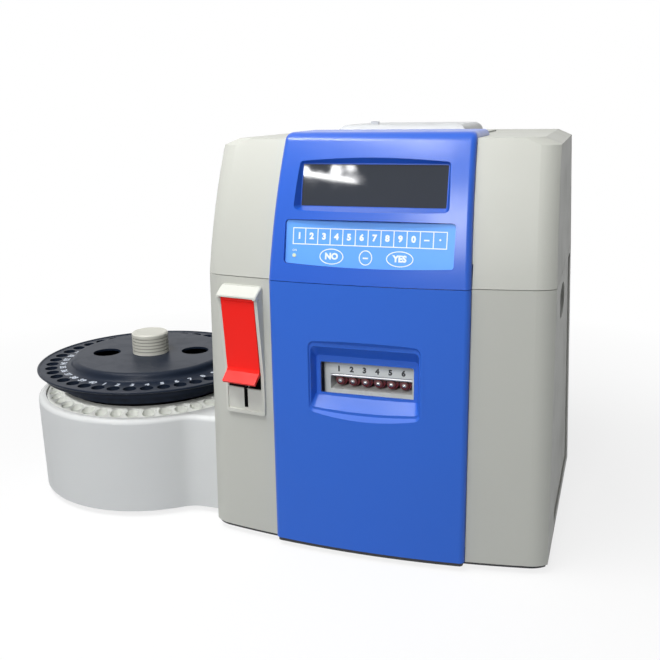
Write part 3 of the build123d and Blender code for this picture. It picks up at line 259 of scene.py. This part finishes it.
def printedGroup():  # screen print: ink that is a little uneven and worn thin in spots
    group, source, sink = newGroup("printedInk", [
        ("Color", "NodeSocketColor", (0.8, 0.8, 0.8, 1)),
        ("Ground", "NodeSocketColor", (0.2, 0.2, 0.2, 1)),
        ("Wear", "NodeSocketFloat", 0.12),
    ], [("Color", "NodeSocketColor"), ("Height", "NodeSocketFloat")])
    place = group.nodes.new("ShaderNodeTexCoord").outputs["Object"]
    patch = ranged(group, noiseIn(group, place, 260.0, 4.0), 0.45, 0.75, 0, 1)
    thin = mathNode(group, "MULTIPLY", patch, source.outputs["Wear"])
    mix = group.nodes.new("ShaderNodeMix")
    mix.data_type = "RGBA"
    group.links.new(thin, mix.inputs[0])
    group.links.new(source.outputs["Color"], mix.inputs[6])
    group.links.new(source.outputs["Ground"], mix.inputs[7])
    group.links.new(mix.outputs[2], sink.inputs["Color"])
    group.links.new(noiseIn(group, place, 2600.0, 2.0), sink.inputs["Height"])
    return group


def brushedGroup():  # drawn or brushed metal: long scratches along one direction
    group, source, sink = newGroup("brushedMetal", [
        ("Color", "NodeSocketColor", (0.6, 0.6, 0.6, 1)),
        ("Tone", "NodeSocketFloat", 0.2),
    ], [("Color", "NodeSocketColor"), ("Scratch", "NodeSocketFloat")])
    place = group.nodes.new("ShaderNodeTexCoord").outputs["Object"]
    scratch = noiseIn(group, place, 900.0, 3.0, stretch=(0.05, 1, 1))
    stain = noiseIn(group, place, 60.0, 3.0)
    depth = mathNode(group, "MULTIPLY", ranged(group, stain, 0.35, 0.75, 0, 1), source.outputs["Tone"])
    group.links.new(tinted(group, source.outputs["Color"], depth, (0.12, 0.11, 0.1, 1)),
                    sink.inputs["Color"])
    group.links.new(scratch, sink.inputs["Scratch"])
    return group


moulding = mouldingGroup()
brushing = brushedGroup()
printing = printedGroup()


def newMaterial(name):
    material = bpy.data.materials.new(name)
    material.use_nodes = True
    tree = material.node_tree
    tree.nodes.clear()
    output = tree.nodes.new("ShaderNodeOutputMaterial")
    shader = tree.nodes.new("ShaderNodeBsdfPrincipled")
    tree.links.new(shader.outputs["BSDF"], output.inputs["Surface"])
    return material, tree, shader


def bumped(tree, shader, height, strength, distance):
    bump = tree.nodes.new("ShaderNodeBump")
    bump.inputs["Strength"].default_value = strength
    bump.inputs["Distance"].default_value = distance
    tree.links.new(height, bump.inputs["Height"])
    tree.links.new(bump.outputs["Normal"], shader.inputs["Normal"])


def plastic(name, colour, rough=0.45, spread=0.12, grain=1400.0, depth=0.25, dust=0.08,
            variation=0.05, coat=0.0, gloss=0.5, coatRough=0.24):
    material, tree, shader = newMaterial(name)
    finish = tree.nodes.new("ShaderNodeGroup")
    finish.node_tree = moulding
    finish.inputs["Color"].default_value = linear(*colour)
    finish.inputs["Variation"].default_value = variation
    finish.inputs["Dust"].default_value = dust
    finish.inputs["Grain Scale"].default_value = grain
    tree.links.new(finish.outputs["Color"], shader.inputs["Base Color"])
    tree.links.new(ranged(tree, finish.outputs["Smudge"], 0, 1, rough, rough + spread),
                   shader.inputs["Roughness"])
    shader.inputs["Specular IOR Level"].default_value = gloss
    shader.inputs["Coat Weight"].default_value = coat
    shader.inputs["Coat Roughness"].default_value = coatRough
    bumped(tree, shader, finish.outputs["Height"], depth, 0.0002)
    return material


def metal(name, colour, rough=0.3, tone=0.25):
    material, tree, shader = newMaterial(name)
    finish = tree.nodes.new("ShaderNodeGroup")
    finish.node_tree = brushing
    finish.inputs["Color"].default_value = linear(*colour)
    finish.inputs["Tone"].default_value = tone
    tree.links.new(finish.outputs["Color"], shader.inputs["Base Color"])
    shader.inputs["Metallic"].default_value = 1.0
    tree.links.new(ranged(tree, finish.outputs["Scratch"], 0.3, 0.7, rough, rough + 0.15),
                   shader.inputs["Roughness"])
    bumped(tree, shader, finish.outputs["Scratch"], 0.15, 0.0001)
    return material


def ink(name, colour, ground, wear=0.12, rough=0.42):
    material, tree, shader = newMaterial(name)
    finish = tree.nodes.new("ShaderNodeGroup")
    finish.node_tree = printing
    finish.inputs["Color"].default_value = linear(*colour)
    finish.inputs["Ground"].default_value = linear(*ground)
    finish.inputs["Wear"].default_value = wear
    tree.links.new(finish.outputs["Color"], shader.inputs["Base Color"])
    shader.inputs["Roughness"].default_value = rough
    bumped(tree, shader, finish.outputs["Height"], 0.08, 0.0001)
    return material


finishes = {
    "shellGrey": plastic("shellGrey", (193, 194, 186), rough=0.45, spread=0.14, depth=0.35, dust=0.04,
                         gloss=0.4),
    "stripBlue": plastic("stripBlue", (30, 90, 198), rough=0.32, spread=0.1, grain=1900.0, depth=0.15,
                         dust=0.0, variation=0.03, coat=0.45, gloss=0.25),
    "doorBlue": plastic("doorBlue", (42, 100, 205), rough=0.4, spread=0.1, grain=1900.0, depth=0.15,
                        dust=0.0, variation=0.03, coat=0.15, gloss=0.3),
    "keypadFilm": plastic("keypadFilm", (96, 166, 250), rough=0.34, spread=0.1, grain=2600.0,
                          depth=0.12, dust=0.0, variation=0.02),
    "legendWhite": ink("legendWhite", (240, 246, 252), (120, 178, 244)),
    "numeralWhite": ink("numeralWhite", (206, 214, 226), (60, 66, 80), wear=0.3),
    "markDark": ink("markDark", (44, 48, 50), (150, 152, 148), wear=0.15),
    "markWhite": ink("markWhite", (228, 230, 232), (80, 80, 84), wear=0.1),
    "displayGlass": plastic("displayGlass", (28, 36, 48), rough=0.03, spread=0.05, depth=0.01,
                            dust=0.0, variation=0.15),
    "flapRed": plastic("flapRed", (250, 26, 14), rough=0.38, spread=0.12, depth=0.06, dust=0.0,
                       variation=0.02, gloss=0.3),
    "portWhite": plastic("portWhite", (206, 207, 199), rough=0.42, depth=0.25, dust=0.03, gloss=0.4),
    "discDark": plastic("discDark", (22, 31, 46), rough=0.36, spread=0.12, depth=0.2, dust=0.02,
                        variation=0.08, gloss=0.14),
    "samplerWhite": plastic("samplerWhite", (216, 218, 217), rough=0.45, spread=0.14, depth=0.3,
                            dust=0.03, gloss=0.4),
    "cupWhite": plastic("cupWhite", (246, 248, 242), rough=0.42, depth=0.2, dust=0.0),
    "lidWhite": plastic("lidWhite", (204, 206, 207), rough=0.42, depth=0.25, dust=0.04, gloss=0.4),
    "darkPlastic": plastic("darkPlastic", (38, 38, 42), rough=0.5, depth=0.4, dust=0.12,
                           variation=0.15),
    # painted shade: near black sheets that darken the port's hollow and needle slot
    "paintedShadeBlack": plastic("paintedShadeBlack", (18, 18, 19), rough=0.9, depth=0.6, grain=2200.0, dust=0.0,
                          variation=0.3, gloss=0.1),
    "rubber": plastic("rubber", (32, 32, 33), rough=0.75, depth=0.5, grain=900.0, dust=0.2,
                      variation=0.2),
    "cellWhite": plastic("cellWhite", (240, 244, 240), rough=0.25, depth=0.08, dust=0.0, coat=0.2),
    "electrodeRed": plastic("electrodeRed", (120, 44, 48), rough=0.2, spread=0.1, depth=0.05,
                            dust=0.0, variation=0.3, coat=0.5),
    "boardGreen": plastic("boardGreen", (26, 92, 54), rough=0.35, depth=0.3, grain=700.0, dust=0.1,
                          variation=0.2),
    "paper": plastic("paper", (236, 236, 228), rough=0.85, depth=0.5, grain=1100.0, dust=0.0,
                     variation=0.04),
    "tubeClear": plastic("tubeClear", (206, 196, 160), rough=0.18, depth=0.05, dust=0.0, coat=0.4),
    "lampLens": plastic("lampLens", (226, 236, 200), rough=0.15, depth=0.02, dust=0.0, coat=0.5),
    "steel": metal("steel", (176, 176, 174), rough=0.28),
    "aluminium": metal("aluminium", (196, 197, 198), rough=0.36, tone=0.15),
    "chrome": metal("chrome", (232, 233, 236), rough=0.12, tone=0.05),
    "brass": metal("brass", (196, 166, 96), rough=0.25, tone=0.2),
}

# painted shade: bands of darker colour where the knob's grooves lie
grooveLook = {
    "middle": 0.15225,
    "pitch": 0.0035,
    "reach": 0.0088,  # half the height that the grooves take
    "fade": 0.0002,
    "narrow": 0.0003,  # from the groove's middle: full painted shade, then none at wide
    "wide": 0.0008,
    "depth": 0.55,
    "shade": (96, 94, 86),
}


def creamWithPaintedGrooveShade():  # the knob's cream plastic, with painted shade darkening its five grooves
    look = grooveLook
    material = plastic("knobCream", (204, 203, 193), rough=0.42, depth=0.2, dust=0.04)
    tree = material.node_tree
    shader = next(node for node in tree.nodes if node.type == "BSDF_PRINCIPLED")
    finish = next(node for node in tree.nodes if node.type == "GROUP")
    split = tree.nodes.new("ShaderNodeSeparateXYZ")
    tree.links.new(tree.nodes.new("ShaderNodeTexCoord").outputs["Object"], split.inputs[0])
    offMiddle = mathNode(tree, "SUBTRACT", split.outputs["Z"], look["middle"])
    offGroove = mathNode(tree, "PINGPONG", offMiddle, look["pitch"] / 2)
    line = ranged(tree, offGroove, look["narrow"], look["wide"], look["depth"], 0)
    distance = mathNode(tree, "ABSOLUTE", offMiddle, 0)
    ribbed = ranged(tree, distance, look["reach"], look["reach"] + look["fade"], 1, 0)
    # painted shade mixed into the base colour over each groove
    tree.links.new(tinted(tree, finish.outputs["Color"], mathNode(tree, "MULTIPLY", line, ribbed),
                          linear(*look["shade"])), shader.inputs["Base Color"])
    return material


finishes["knobCream"] = creamWithPaintedGrooveShade()

nodeFinish = {
    "lower_housing": "shellGrey", "upper_housing": "shellGrey", "display_bezel": "stripBlue",
    "door": "doorBlue", "keypad": "keypadFilm", "display_window": "displayGlass",
    "lcd_module": "darkPlastic", "status_lamp": "lampLens", "door_pins": "steel",
    "base_tray": "darkPlastic", "feet": "rubber", "service_panel": "shellGrey",
    "electrode_cell": "cellWhite", "electrodes": "electrodeRed", "clamp_rod": "chrome",
    "pump_motor": "aluminium", "pump_rotor": "portWhite", "pump_shoe": "darkPlastic",
    "valve_block": "cellWhite", "tubing": "tubeClear", "port_frame": "portWhite", "flap": "flapRed",
    "flap_pin": "steel", "needle_arm": "steel", "needle_pin": "steel", "printer_tray": "shellGrey",
    "printer_lid": "lidWhite", "lid_pins": "steel", "lid_latch": "lidWhite",
    "printer_works": "darkPlastic", "platen": "rubber", "paper_roll": "paper",
    "roll_spindle": "portWhite", "reagent_bay": "shellGrey", "reagent_pack": "shellGrey",
    "pack_nipples": "portWhite", "bay_coupler": "darkPlastic", "main_board": "boardGreen",
    "board_standoffs": "steel", "power_supply": "aluminium", "rear_plate": "shellGrey",
    "mains_inlet": "darkPlastic", "switch_frame": "darkPlastic", "rocker": "darkPlastic",
    "rocker_pin": "steel", "serial_port": "steel", "fan": "darkPlastic",
    "sampler_housing": "samplerWhite", "sampler_base": "darkPlastic", "sampler_feet": "rubber",
    "spindle_bearing": "steel", "drive_motor": "aluminium", "turntable": "darkPlastic",
    "cup_ring": "cupWhite", "sample_disc": "discDark", "knob": "knobCream", "slot_guide": "darkPlastic",
}
for name, finishName in nodeFinish.items():
    mesh = nodes[name].data
    mesh.materials.clear()
    mesh.materials.append(finishes[finishName])
print("materials on", len(nodeFinish), "nodes")


keypadLook = {
    "tilt": math.radians(10.9),
    "film": 0.001,
    "ink": 0.00012,
    "rowUp": 0.0062,
    "rowWide": 0.1352,
    "rowTall": 0.0138,
    "line": 0.0008,
    "digit": 0.0074,
    "bold": 0.0004,
    "buttonsUp": -0.0106,
    "buttons": (("NO", -0.032, 0.0108, 0.0068), ("\u2013", -0.0015, 0.0059, 0.0064),
                ("YES", 0.0284, 0.0118, 0.0067)),  # mark, across, half width, half height
    "lampLabel": (-0.066, -0.0062, 0.0026),  # across, up, size
}


def keypadLegends():  # key row, three buttons and the lamp's word, printed on the film
    look = keypadLook
    normal = Vector((0, -math.cos(look["tilt"]), math.sin(look["tilt"])))
    face = pointed(centreOf("keypad") + normal * look["film"] / 2, (1, 0, 0), normal)
    bm = bmesh.new()
    marks = "1234567890\u2013\u00b7"
    cell = look["rowWide"] / len(marks)
    for side in (-1, 1):
        bar(bm, look["rowWide"] + look["line"], look["line"], look["ink"],
            face @ Matrix.Translation((0, look["rowUp"] + side * look["rowTall"] / 2, 0)))
    for index in range(len(marks) + 1):
        bar(bm, look["line"], look["rowTall"], look["ink"],
            face @ Matrix.Translation(((index - len(marks) / 2) * cell, look["rowUp"], 0)))
    for index, mark in enumerate(marks):
        across = (index - (len(marks) - 1) / 2) * cell
        addLetters(bm, mark, look["digit"], look["ink"],
                   face @ Matrix.Translation((across, look["rowUp"], 0)), bold=look["bold"])
    for words, across, halfWide, halfTall in look["buttons"]:
        spot = face @ Matrix.Translation((across, look["buttonsUp"], 0))
        ringLine(bm, halfWide, halfTall, look["line"], look["ink"] / 2, spot)
        addLetters(bm, words, look["digit"], look["ink"], spot, bold=look["bold"])
    across, up, size = look["lampLabel"]
    addLetters(bm, "ON", size, look["ink"], face @ Matrix.Translation((across, up, 0)))
    piece(bm, "keypad_legends", finishes["legendWhite"], "analyser", angle=60)


keypadLegends()
print("keypad legends printed")

discLook = {"circle": 0.0958, "size": 0.009, "ink": 0.00012, "bold": 0.0003, "count": 40,
            "flangeDown": 0.0085}  # flange below the knob's foot


def discNumerals():  # 1 to 40 inside the cup holes, read from the middle
    look = discLook
    middle = centreOf("sample_disc")
    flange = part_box("knob")[0].z - look["flangeDown"]
    bm = bmesh.new()
    for index in range(look["count"]):
        turn = math.tau * (index / look["count"] - 0.25)
        place = (Matrix.Translation((middle.x, middle.y, flange + look["ink"] / 2))
                 @ Matrix.Rotation(turn, 4, "Z") @ Matrix.Translation((look["circle"], 0, 0))
                 @ Matrix.Rotation(math.pi / 2, 4, "Z"))
        addLetters(bm, str(index + 1), look["size"], look["ink"], place, bold=look["bold"])
    piece(bm, "disc_numerals", finishes["numeralWhite"], "sample_disc", angle=60)


discNumerals()
print("disc numbered")

guardLook = {"radius": 0.0695, "wall": 0.0015, "top": 0.1275, "foot": 0.002, "lip": 0.0012,
             "breakIn": 0.0005, "breakDown": 0.0006}


def hubGuard():  # dark ring round the hub that closes the view through the disc's finger holes; its dark plastic also gives the painted shade seen down the holes
    look = guardLook
    middle = centreOf("turntable")
    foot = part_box("cup_ring")[0].z
    outer, inner, tall = look["radius"], look["radius"] - look["wall"], look["top"] - foot
    bm = bmesh.new()
    turned(bm, [(inner, 0), (outer + look["foot"], 0), (outer + look["foot"], look["lip"]),
                (outer, look["foot"]), (outer, tall - look["breakDown"]), (outer - look["breakIn"], tall),
                (inner, tall), (inner, 0)],
           Matrix.Translation((middle.x, middle.y, foot)), 72)
    piece(bm, "hub_guard", finishes["darkPlastic"], "turntable")


hubGuard()
print("hub guarded")

# painted shade: sizes of the dark sheets in the port's hollow and needle slot
portLook = {
    "turn": 0.1481,
    "pinOut": 0.007,
    "out": (-0.00785, 0.0008),
    "half": 0.0176,
    "sill": 0.15205,
    "top": 0.2463,
    "slotHalf": 0.00188,
    "slotLow": 0.13312,
    "slotOut": (-0.0098, 0.001),
    "sillGap": 0.0022,
    "shadeSheet": 0.00012,
}


def portPaintedShade():  # painted shade: black sheets on the port's hollow and on the walls of its needle slot
    look = portLook
    pin = centreOf("flap_pin")
    across = Vector((math.cos(look["turn"]), -math.sin(look["turn"]), 0))
    outward = Vector((-math.sin(look["turn"]), -math.cos(look["turn"]), 0))
    face = pointed(Vector((pin.x, pin.y, 0)) - outward * look["pinOut"], across, outward)
    thin, half, gap, slotHalf = look["shadeSheet"], look["half"], look["sillGap"], look["slotHalf"]
    back, front = look["out"]
    slotBack, slotFront = look["slotOut"]
    deep, middle = front - back, (front + back) / 2
    slotDeep, slotMiddle = slotFront - slotBack, (slotFront + slotBack) / 2
    tall, up = look["top"] - look["sill"], (look["top"] + look["sill"]) / 2
    slotTall, slotUp = look["sill"] - look["slotLow"], (look["sill"] + look["slotLow"]) / 2
    bm = bmesh.new()
    bar(bm, 2 * half, tall, thin, face @ Matrix.Translation((0, up, back)))
    bar(bm, 2 * slotHalf, thin, slotDeep, face @ Matrix.Translation((0, look["slotLow"], slotMiddle)))
    for side in (1, -1):
        bar(bm, thin, tall, deep, face @ Matrix.Translation((side * half, up, middle)))
        bar(bm, half - gap, thin, deep,
            face @ Matrix.Translation((side * (half + gap) / 2, look["sill"], middle)))
        bar(bm, thin, slotTall, slotDeep,
            face @ Matrix.Translation((side * slotHalf, slotUp, slotMiddle)))
    piece(bm, "port_painted_shade", finishes["paintedShadeBlack"], "analyser", angle=30)


portPaintedShade()
print("port darkened")

cellLook = {"count": 6, "pitch": 0.012, "labelHigh": 0.1737, "size": 0.0068, "ink": 0.0001,
            "bold": 0.0004, "pin": 0.0009, "collar": 0.0019, "reach": 0.0014}


def cellDetails():  # plain numbers over the electrodes, and a contact in the middle of each cap
    look = cellLook
    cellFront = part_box("electrode_cell")[0].y
    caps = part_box("electrodes")
    middle = centreOf("electrodes")
    marks, pins, collars = bmesh.new(), bmesh.new(), bmesh.new()
    for index in range(look["count"]):
        across = middle.x + (index - (look["count"] - 1) / 2) * look["pitch"]
        label = frontFace(across, cellFront - look["ink"] / 2, look["labelHigh"])
        addLetters(marks, str(index + 1), look["size"], look["ink"], label, bold=look["bold"])
        cap = frontFace(across, caps[0].y, middle.z)
        turned(pins, [(0, 0), (look["pin"], 0), (look["pin"], look["reach"] * 0.7), (0, look["reach"])],
               cap, 16)
        turned(collars, [(look["pin"], 0), (look["collar"], 0), (look["collar"], look["reach"] * 0.4),
                         (look["pin"], look["reach"] * 0.5), (look["pin"], 0)], cap, 20)
    piece(marks, "cell_numbers", finishes["markDark"], "analyser", angle=60)
    piece(pins, "electrode_contacts", finishes["chrome"], "analyser")
    piece(collars, "electrode_collars", finishes["steel"], "analyser")


cellDetails()
print("cell numbered, contacts set")

screwLook = {"screw": 0.003, "head": 0.0014, "margin": 0.0135, "endUp": 0.004,
             "fanAcross": 0.0252, "fanUp": 0.034, "inletAcross": 0.0146, "inletScrew": 0.0017,
             "inletHead": 0.0009}


def screwHead(bm, place, radius, tall):  # domed head with a round drive hole
    turned(bm, [(0, tall * 0.35), (radius * 0.42, tall * 0.35), (radius * 0.42, tall), (radius * 0.7, tall),
                (radius, tall * 0.55), (radius, 0), (0, 0)], place, 20)


def rearScrews():  # round the service plate, the fan and the inlet
    look = screwLook
    low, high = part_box("rear_plate")
    margin, endUp = look["margin"], look["endUp"]
    bm = bmesh.new()
    for across in (low.x + margin, (low.x + high.x) / 2, high.x - margin):
        for up in (low.z + margin - endUp, high.z - margin + endUp):
            screwHead(bm, backFace(across, high.y, up), look["screw"], look["head"])
    fan = centreOf("fan")
    for across in (-look["fanAcross"], look["fanAcross"]):
        for up in (-look["fanUp"], look["fanUp"]):
            screwHead(bm, backFace(fan.x + across, high.y, fan.z + up), look["screw"], look["head"])
    inlet = centreOf("mains_inlet")
    for across in (-look["inletAcross"], look["inletAcross"]):
        screwHead(bm, backFace(inlet.x + across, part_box("mains_inlet")[1].y, inlet.z),
                  look["inletScrew"], look["inletHead"])
    piece(bm, "rear_screws", finishes["steel"], "analyser")


rearScrews()
print("rear screwed")

socketLook = {
    "plateIn": 0.0024,  # service plate's face inside the inlet's rim
    "blade": (0.0024, 0.0044, 0.0134),
    "bladeIn": 0.0073,
    "bladePlaces": ((-0.007, -0.002), (0, 0.002), (0.007, -0.002)),
    "tipDepth": 0.001,
    "tipBreak": 0.0007,
    "pinPitch": 0.00274,
    "pinRows": ((0.0014, 5), (-0.0014, 4)),  # height, count
    "pin": 0.0005,
    "pinIn": 0.006,
    "postAcross": 0.0124,
}


def socketFittings():  # inlet blades, serial pins and posts
    look = socketLook
    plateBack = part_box("mains_inlet")[1].y - look["plateIn"]
    inlet = centreOf("mains_inlet")
    bm = bmesh.new()
    for across, up in look["bladePlaces"]:
        blade = bar(bm, *look["blade"],
                    backFace(inlet.x + across, plateBack - look["bladeIn"], inlet.z + up))
        tip = max(vert.co.y for vert in blade) - look["tipDepth"]
        ends = [e for e in bm.edges if all(v in blade and v.co.y > tip for v in e.verts)]
        bmesh.ops.bevel(bm, geom=ends, offset=look["tipBreak"], affect="EDGES", segments=2, profile=0.5,
                        material=-1)
    piece(bm, "inlet_blades", finishes["brass"], "analyser")

    port = centreOf("serial_port")
    pins, posts = bmesh.new(), bmesh.new()
    for row, count in look["pinRows"]:
        for index in range(count):
            across = (index - (count - 1) / 2) * look["pinPitch"]
            turned(pins, [(0, 0), (look["pin"], 0), (look["pin"], 0.0042), (0, 0.0048)],
                   backFace(port.x + across, plateBack - look["pinIn"], port.z + row), 10)
    for across in (-look["postAcross"], look["postAcross"]):
        turned(posts, [(0, 0.0008), (0.0012, 0.0008), (0.0012, 0.002), (0.002, 0.002), (0.0024, 0.0016),
                       (0.0024, 0), (0, 0)],
               backFace(port.x + across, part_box("serial_port")[1].y, port.z), 6)
    piece(pins, "serial_pins", finishes["brass"], "analyser")
    piece(posts, "serial_posts", finishes["steel"], "analyser", angle=20)


socketFittings()
print("sockets fitted")

rockerLook = {"ring": 0.0019, "line": 0.0005, "ink": 0.0001, "ringUp": 0.0042, "ringOut": 0.0002,
              "bar": (0.0006, 0.0036, 0.0002), "barDown": 0.004, "barOut": 0.0014,
              "barFacing": (0, 0.958, 0.287)}


def rockerMarks():  # I and O on the rocker's two halves
    look = rockerLook
    middle = centreOf("switch_frame")
    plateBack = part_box("mains_inlet")[1].y - socketLook["plateIn"]
    bm = bmesh.new()
    ringLine(bm, look["ring"], look["ring"], look["line"], look["ink"],
             backFace(middle.x, plateBack + look["ringOut"], middle.z + look["ringUp"]), 24)
    low = Vector((middle.x, plateBack + look["barOut"], middle.z - look["barDown"]))
    bar(bm, *look["bar"], pointed(low, (-1, 0, 0), look["barFacing"]))
    piece(bm, "rocker_marks", finishes["markWhite"], "rocker", angle=60)


rockerMarks()
print("rocker marked")

fanLook = {"blades": 7, "reach": 0.0198, "halfLong": 0.0066, "halfWide": 0.0052, "pitch": 44, "twist": 14,
           "thick": 0.0009, "in": 0.0075}


def fanBlades():  # twisted blades of the impeller behind the rear slots
    look = fanLook
    middle = centreOf("fan")
    bm = bmesh.new()
    for index in range(look["blades"]):
        blade = bmesh.ops.create_grid(bm, x_segments=6, y_segments=3, size=1)["verts"]
        for vert in blade:
            pitch = math.radians(look["pitch"] - look["twist"] * vert.co.x)
            wide = vert.co.y * look["halfWide"]
            vert.co = (look["reach"] + vert.co.x * look["halfLong"],
                       wide * math.cos(pitch), wide * math.sin(pitch))
        bmesh.ops.rotate(bm, verts=blade, cent=(0, 0, 0),
                         matrix=Matrix.Rotation(index * math.tau / look["blades"], 3, "Z"))
    bmesh.ops.solidify(bm, geom=bm.faces[:], thickness=look["thick"])
    piece(bm, "fan_blades", finishes["darkPlastic"], "analyser",
          place=backFace(middle.x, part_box("fan")[0].y + look["in"], middle.z))


fanBlades()
print("fan bladed")

underLook = {"screw": 0.0034, "head": 0.0012, "sideIn": 0.042, "frontIn": 0.045, "backIn": 0.012}


def underside():  # six screws that hold the base tray
    look = underLook
    low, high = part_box("base_tray")
    bm = bmesh.new()
    for across in (low.x + look["sideIn"], (low.x + high.x) / 2, high.x - look["sideIn"]):
        for back in (low.y + look["frontIn"], high.y - look["backIn"]):
            screwHead(bm, pointed(Vector((across, back, low.z)), (1, 0, 0), (0, 0, -1)),
                      look["screw"], look["head"])
    piece(bm, "tray_screws", finishes["steel"], "analyser")


underside()
print("underside screwed")

studioLook = {
    "floorShade": (0.3, 0.31, 0.34, 1),  # what the floor throws back on the object
    "floorSeen": (0.95, 0.95, 0.955, 1),
    "near": 0.35,
    "far": 0.9,
    "shadowShare": 0.2,
    "fill": (0.92, 0.96, 1.0, 1),
    "fillStrength": 0.07,
}


def backgroundSeen(tree):  # 1 for what the eye, a reflection or a glass sees, 0 for light on the object
    path = tree.nodes.new("ShaderNodeLightPath")
    seen = mathNode(tree, "ADD", path.outputs["Is Camera Ray"], path.outputs["Is Glossy Ray"])
    return mathNode(tree, "MINIMUM", mathNode(tree, "ADD", seen, path.outputs["Is Transmission Ray"]), 1.0)


def floorMaterial():  # pale floor that keeps the shadow near the object and is white far from it
    look = studioLook
    material, tree, shader = newMaterial("floorPale")
    place = tree.nodes.new("ShaderNodeTexCoord").outputs["Object"]
    tone = noiseIn(tree, place, 4.0, 2.0)
    shader.inputs["Roughness"].default_value = 0.85
    toned = tinted(tree, look["floorShade"], ranged(tree, tone, 0, 1, 0, 0.03), (0.4, 0.4, 0.4, 1))
    seen = tinted(tree, toned, backgroundSeen(tree), look["floorSeen"])
    tree.links.new(seen, shader.inputs["Base Color"])
    reach = tree.nodes.new("ShaderNodeVectorMath")
    reach.operation = "LENGTH"
    tree.links.new(place, reach.inputs[0])
    plain = ranged(tree, reach.outputs["Value"], look["near"], look["far"], 1 - look["shadowShare"], 1)
    glow = tree.nodes.new("ShaderNodeEmission")
    glow.inputs["Strength"].default_value = 1.0
    mix = tree.nodes.new("ShaderNodeMixShader")
    tree.links.new(mathNode(tree, "MULTIPLY", plain, backgroundSeen(tree)), mix.inputs["Fac"])
    tree.links.new(shader.outputs["BSDF"], mix.inputs[1])
    tree.links.new(glow.outputs["Emission"], mix.inputs[2])
    output = next(node for node in tree.nodes if node.type == "OUTPUT_MATERIAL")
    tree.links.new(mix.outputs["Shader"], output.inputs["Surface"])
    return material


def floorPlane():
    bm = bmesh.new()
    bmesh.ops.create_grid(bm, x_segments=1, y_segments=1, size=6)
    mesh = bpy.data.meshes.new("floor")
    bm.to_mesh(mesh)
    bm.free()
    mesh.materials.append(floorMaterial())
    floor = bpy.data.objects.new("floor", mesh)
    bpy.context.scene.collection.objects.link(floor)


def whiteWorld():  # white to the eye and to reflections, a weak fill to everything else
    world = bpy.data.worlds.new("studio")
    bpy.context.scene.world = world
    world.use_nodes = True
    sky = world.node_tree
    sky.nodes.clear()
    output = sky.nodes.new("ShaderNodeOutputWorld")
    mix = sky.nodes.new("ShaderNodeMixShader")
    seen = sky.nodes.new("ShaderNodeBackground")
    seen.inputs["Color"].default_value = (1, 1, 1, 1)
    seen.inputs["Strength"].default_value = 1.0
    fill = sky.nodes.new("ShaderNodeBackground")
    fill.inputs["Color"].default_value = studioLook["fill"]
    fill.inputs["Strength"].default_value = studioLook["fillStrength"]
    sky.links.new(backgroundSeen(sky), mix.inputs["Fac"])
    sky.links.new(fill.outputs["Background"], mix.inputs[1])
    sky.links.new(seen.outputs["Background"], mix.inputs[2])
    sky.links.new(mix.outputs["Shader"], output.inputs["Surface"])


lampLook = {  # place, aim, size, power; the glass lamps draw the streaks in the display
    "key": ((0.15, -2.6, 1.5), (0, 0, 0.2), (0.5, 0.9), 35),
    "overhead": ((-0.15, -0.35, 1.4), (0, -0.05, 0.3), (1.1, 0.8), 1.5),
    "browStrip": ((-0.3, -0.55, 1.3), (0.1, -0.1, 0.37), (1.1, 0.12), 14),
    "glassBand": ((-0.555, -1.87, 1.085), (0.08, -0.11, 0.35), (0.175, 0.012), 0.35),
    "glassSpotLeft": ((-0.648, -1.87, 1.11), (0.08, -0.11, 0.35), (0.035, 0.016), 0.1),
    "glassSpotMiddle": ((-0.535, -1.87, 1.108), (0.08, -0.11, 0.35), (0.028, 0.024), 0.12),
    "glassSpotRight": ((-0.49, -1.87, 1.114), (0.08, -0.11, 0.35), (0.024, 0.014), 0.06),
}


def softLight(name, place, aim, size, power):
    lamp = bpy.data.lights.new(name, "AREA")
    lamp.shape = "RECTANGLE"
    lamp.size, lamp.size_y = size
    lamp.energy = power
    obj = bpy.data.objects.new(name, lamp)
    bpy.context.scene.collection.objects.link(obj)
    obj.location = place
    obj.rotation_euler = (Vector(aim) - Vector(place)).to_track_quat("-Z", "Y").to_euler()


cameraLook = {
    "place": (0.32992, -0.83539, 0.4063),
    "turnLeft": math.radians(18.7),
    "tiltDown": math.radians(14.5),
    "roll": math.radians(-0.9),
    "lens": 47.69,
}


def photographView():
    look = cameraLook
    turn, tilt, roll = look["turnLeft"], look["tiltDown"], look["roll"]
    ahead = Vector((-math.sin(turn) * math.cos(tilt), math.cos(turn) * math.cos(tilt), -math.sin(tilt)))
    right = Vector((math.cos(turn), math.sin(turn), 0))
    up = right.cross(ahead)
    rolledRight = right * math.cos(roll) + up * math.sin(roll)
    rolledUp = up * math.cos(roll) - right * math.sin(roll)
    camera = bpy.data.cameras.new("photographView")
    camera.lens = look["lens"]
    camera.sensor_width = 36
    camera.clip_start = 0.01
    obj = bpy.data.objects.new("photographView", camera)
    obj.matrix_world = (Matrix.Translation(look["place"])
                        @ Matrix((rolledRight, rolledUp, -ahead)).transposed().to_4x4())
    bpy.context.scene.collection.objects.link(obj)
    bpy.context.scene.camera = obj


floorPlane()
whiteWorld()
for name, setting in lampLook.items():
    softLight(name, *setting)
photographView()
bpy.context.scene.view_settings.view_transform = "Standard"
print("studio lit, camera at the photograph's view")
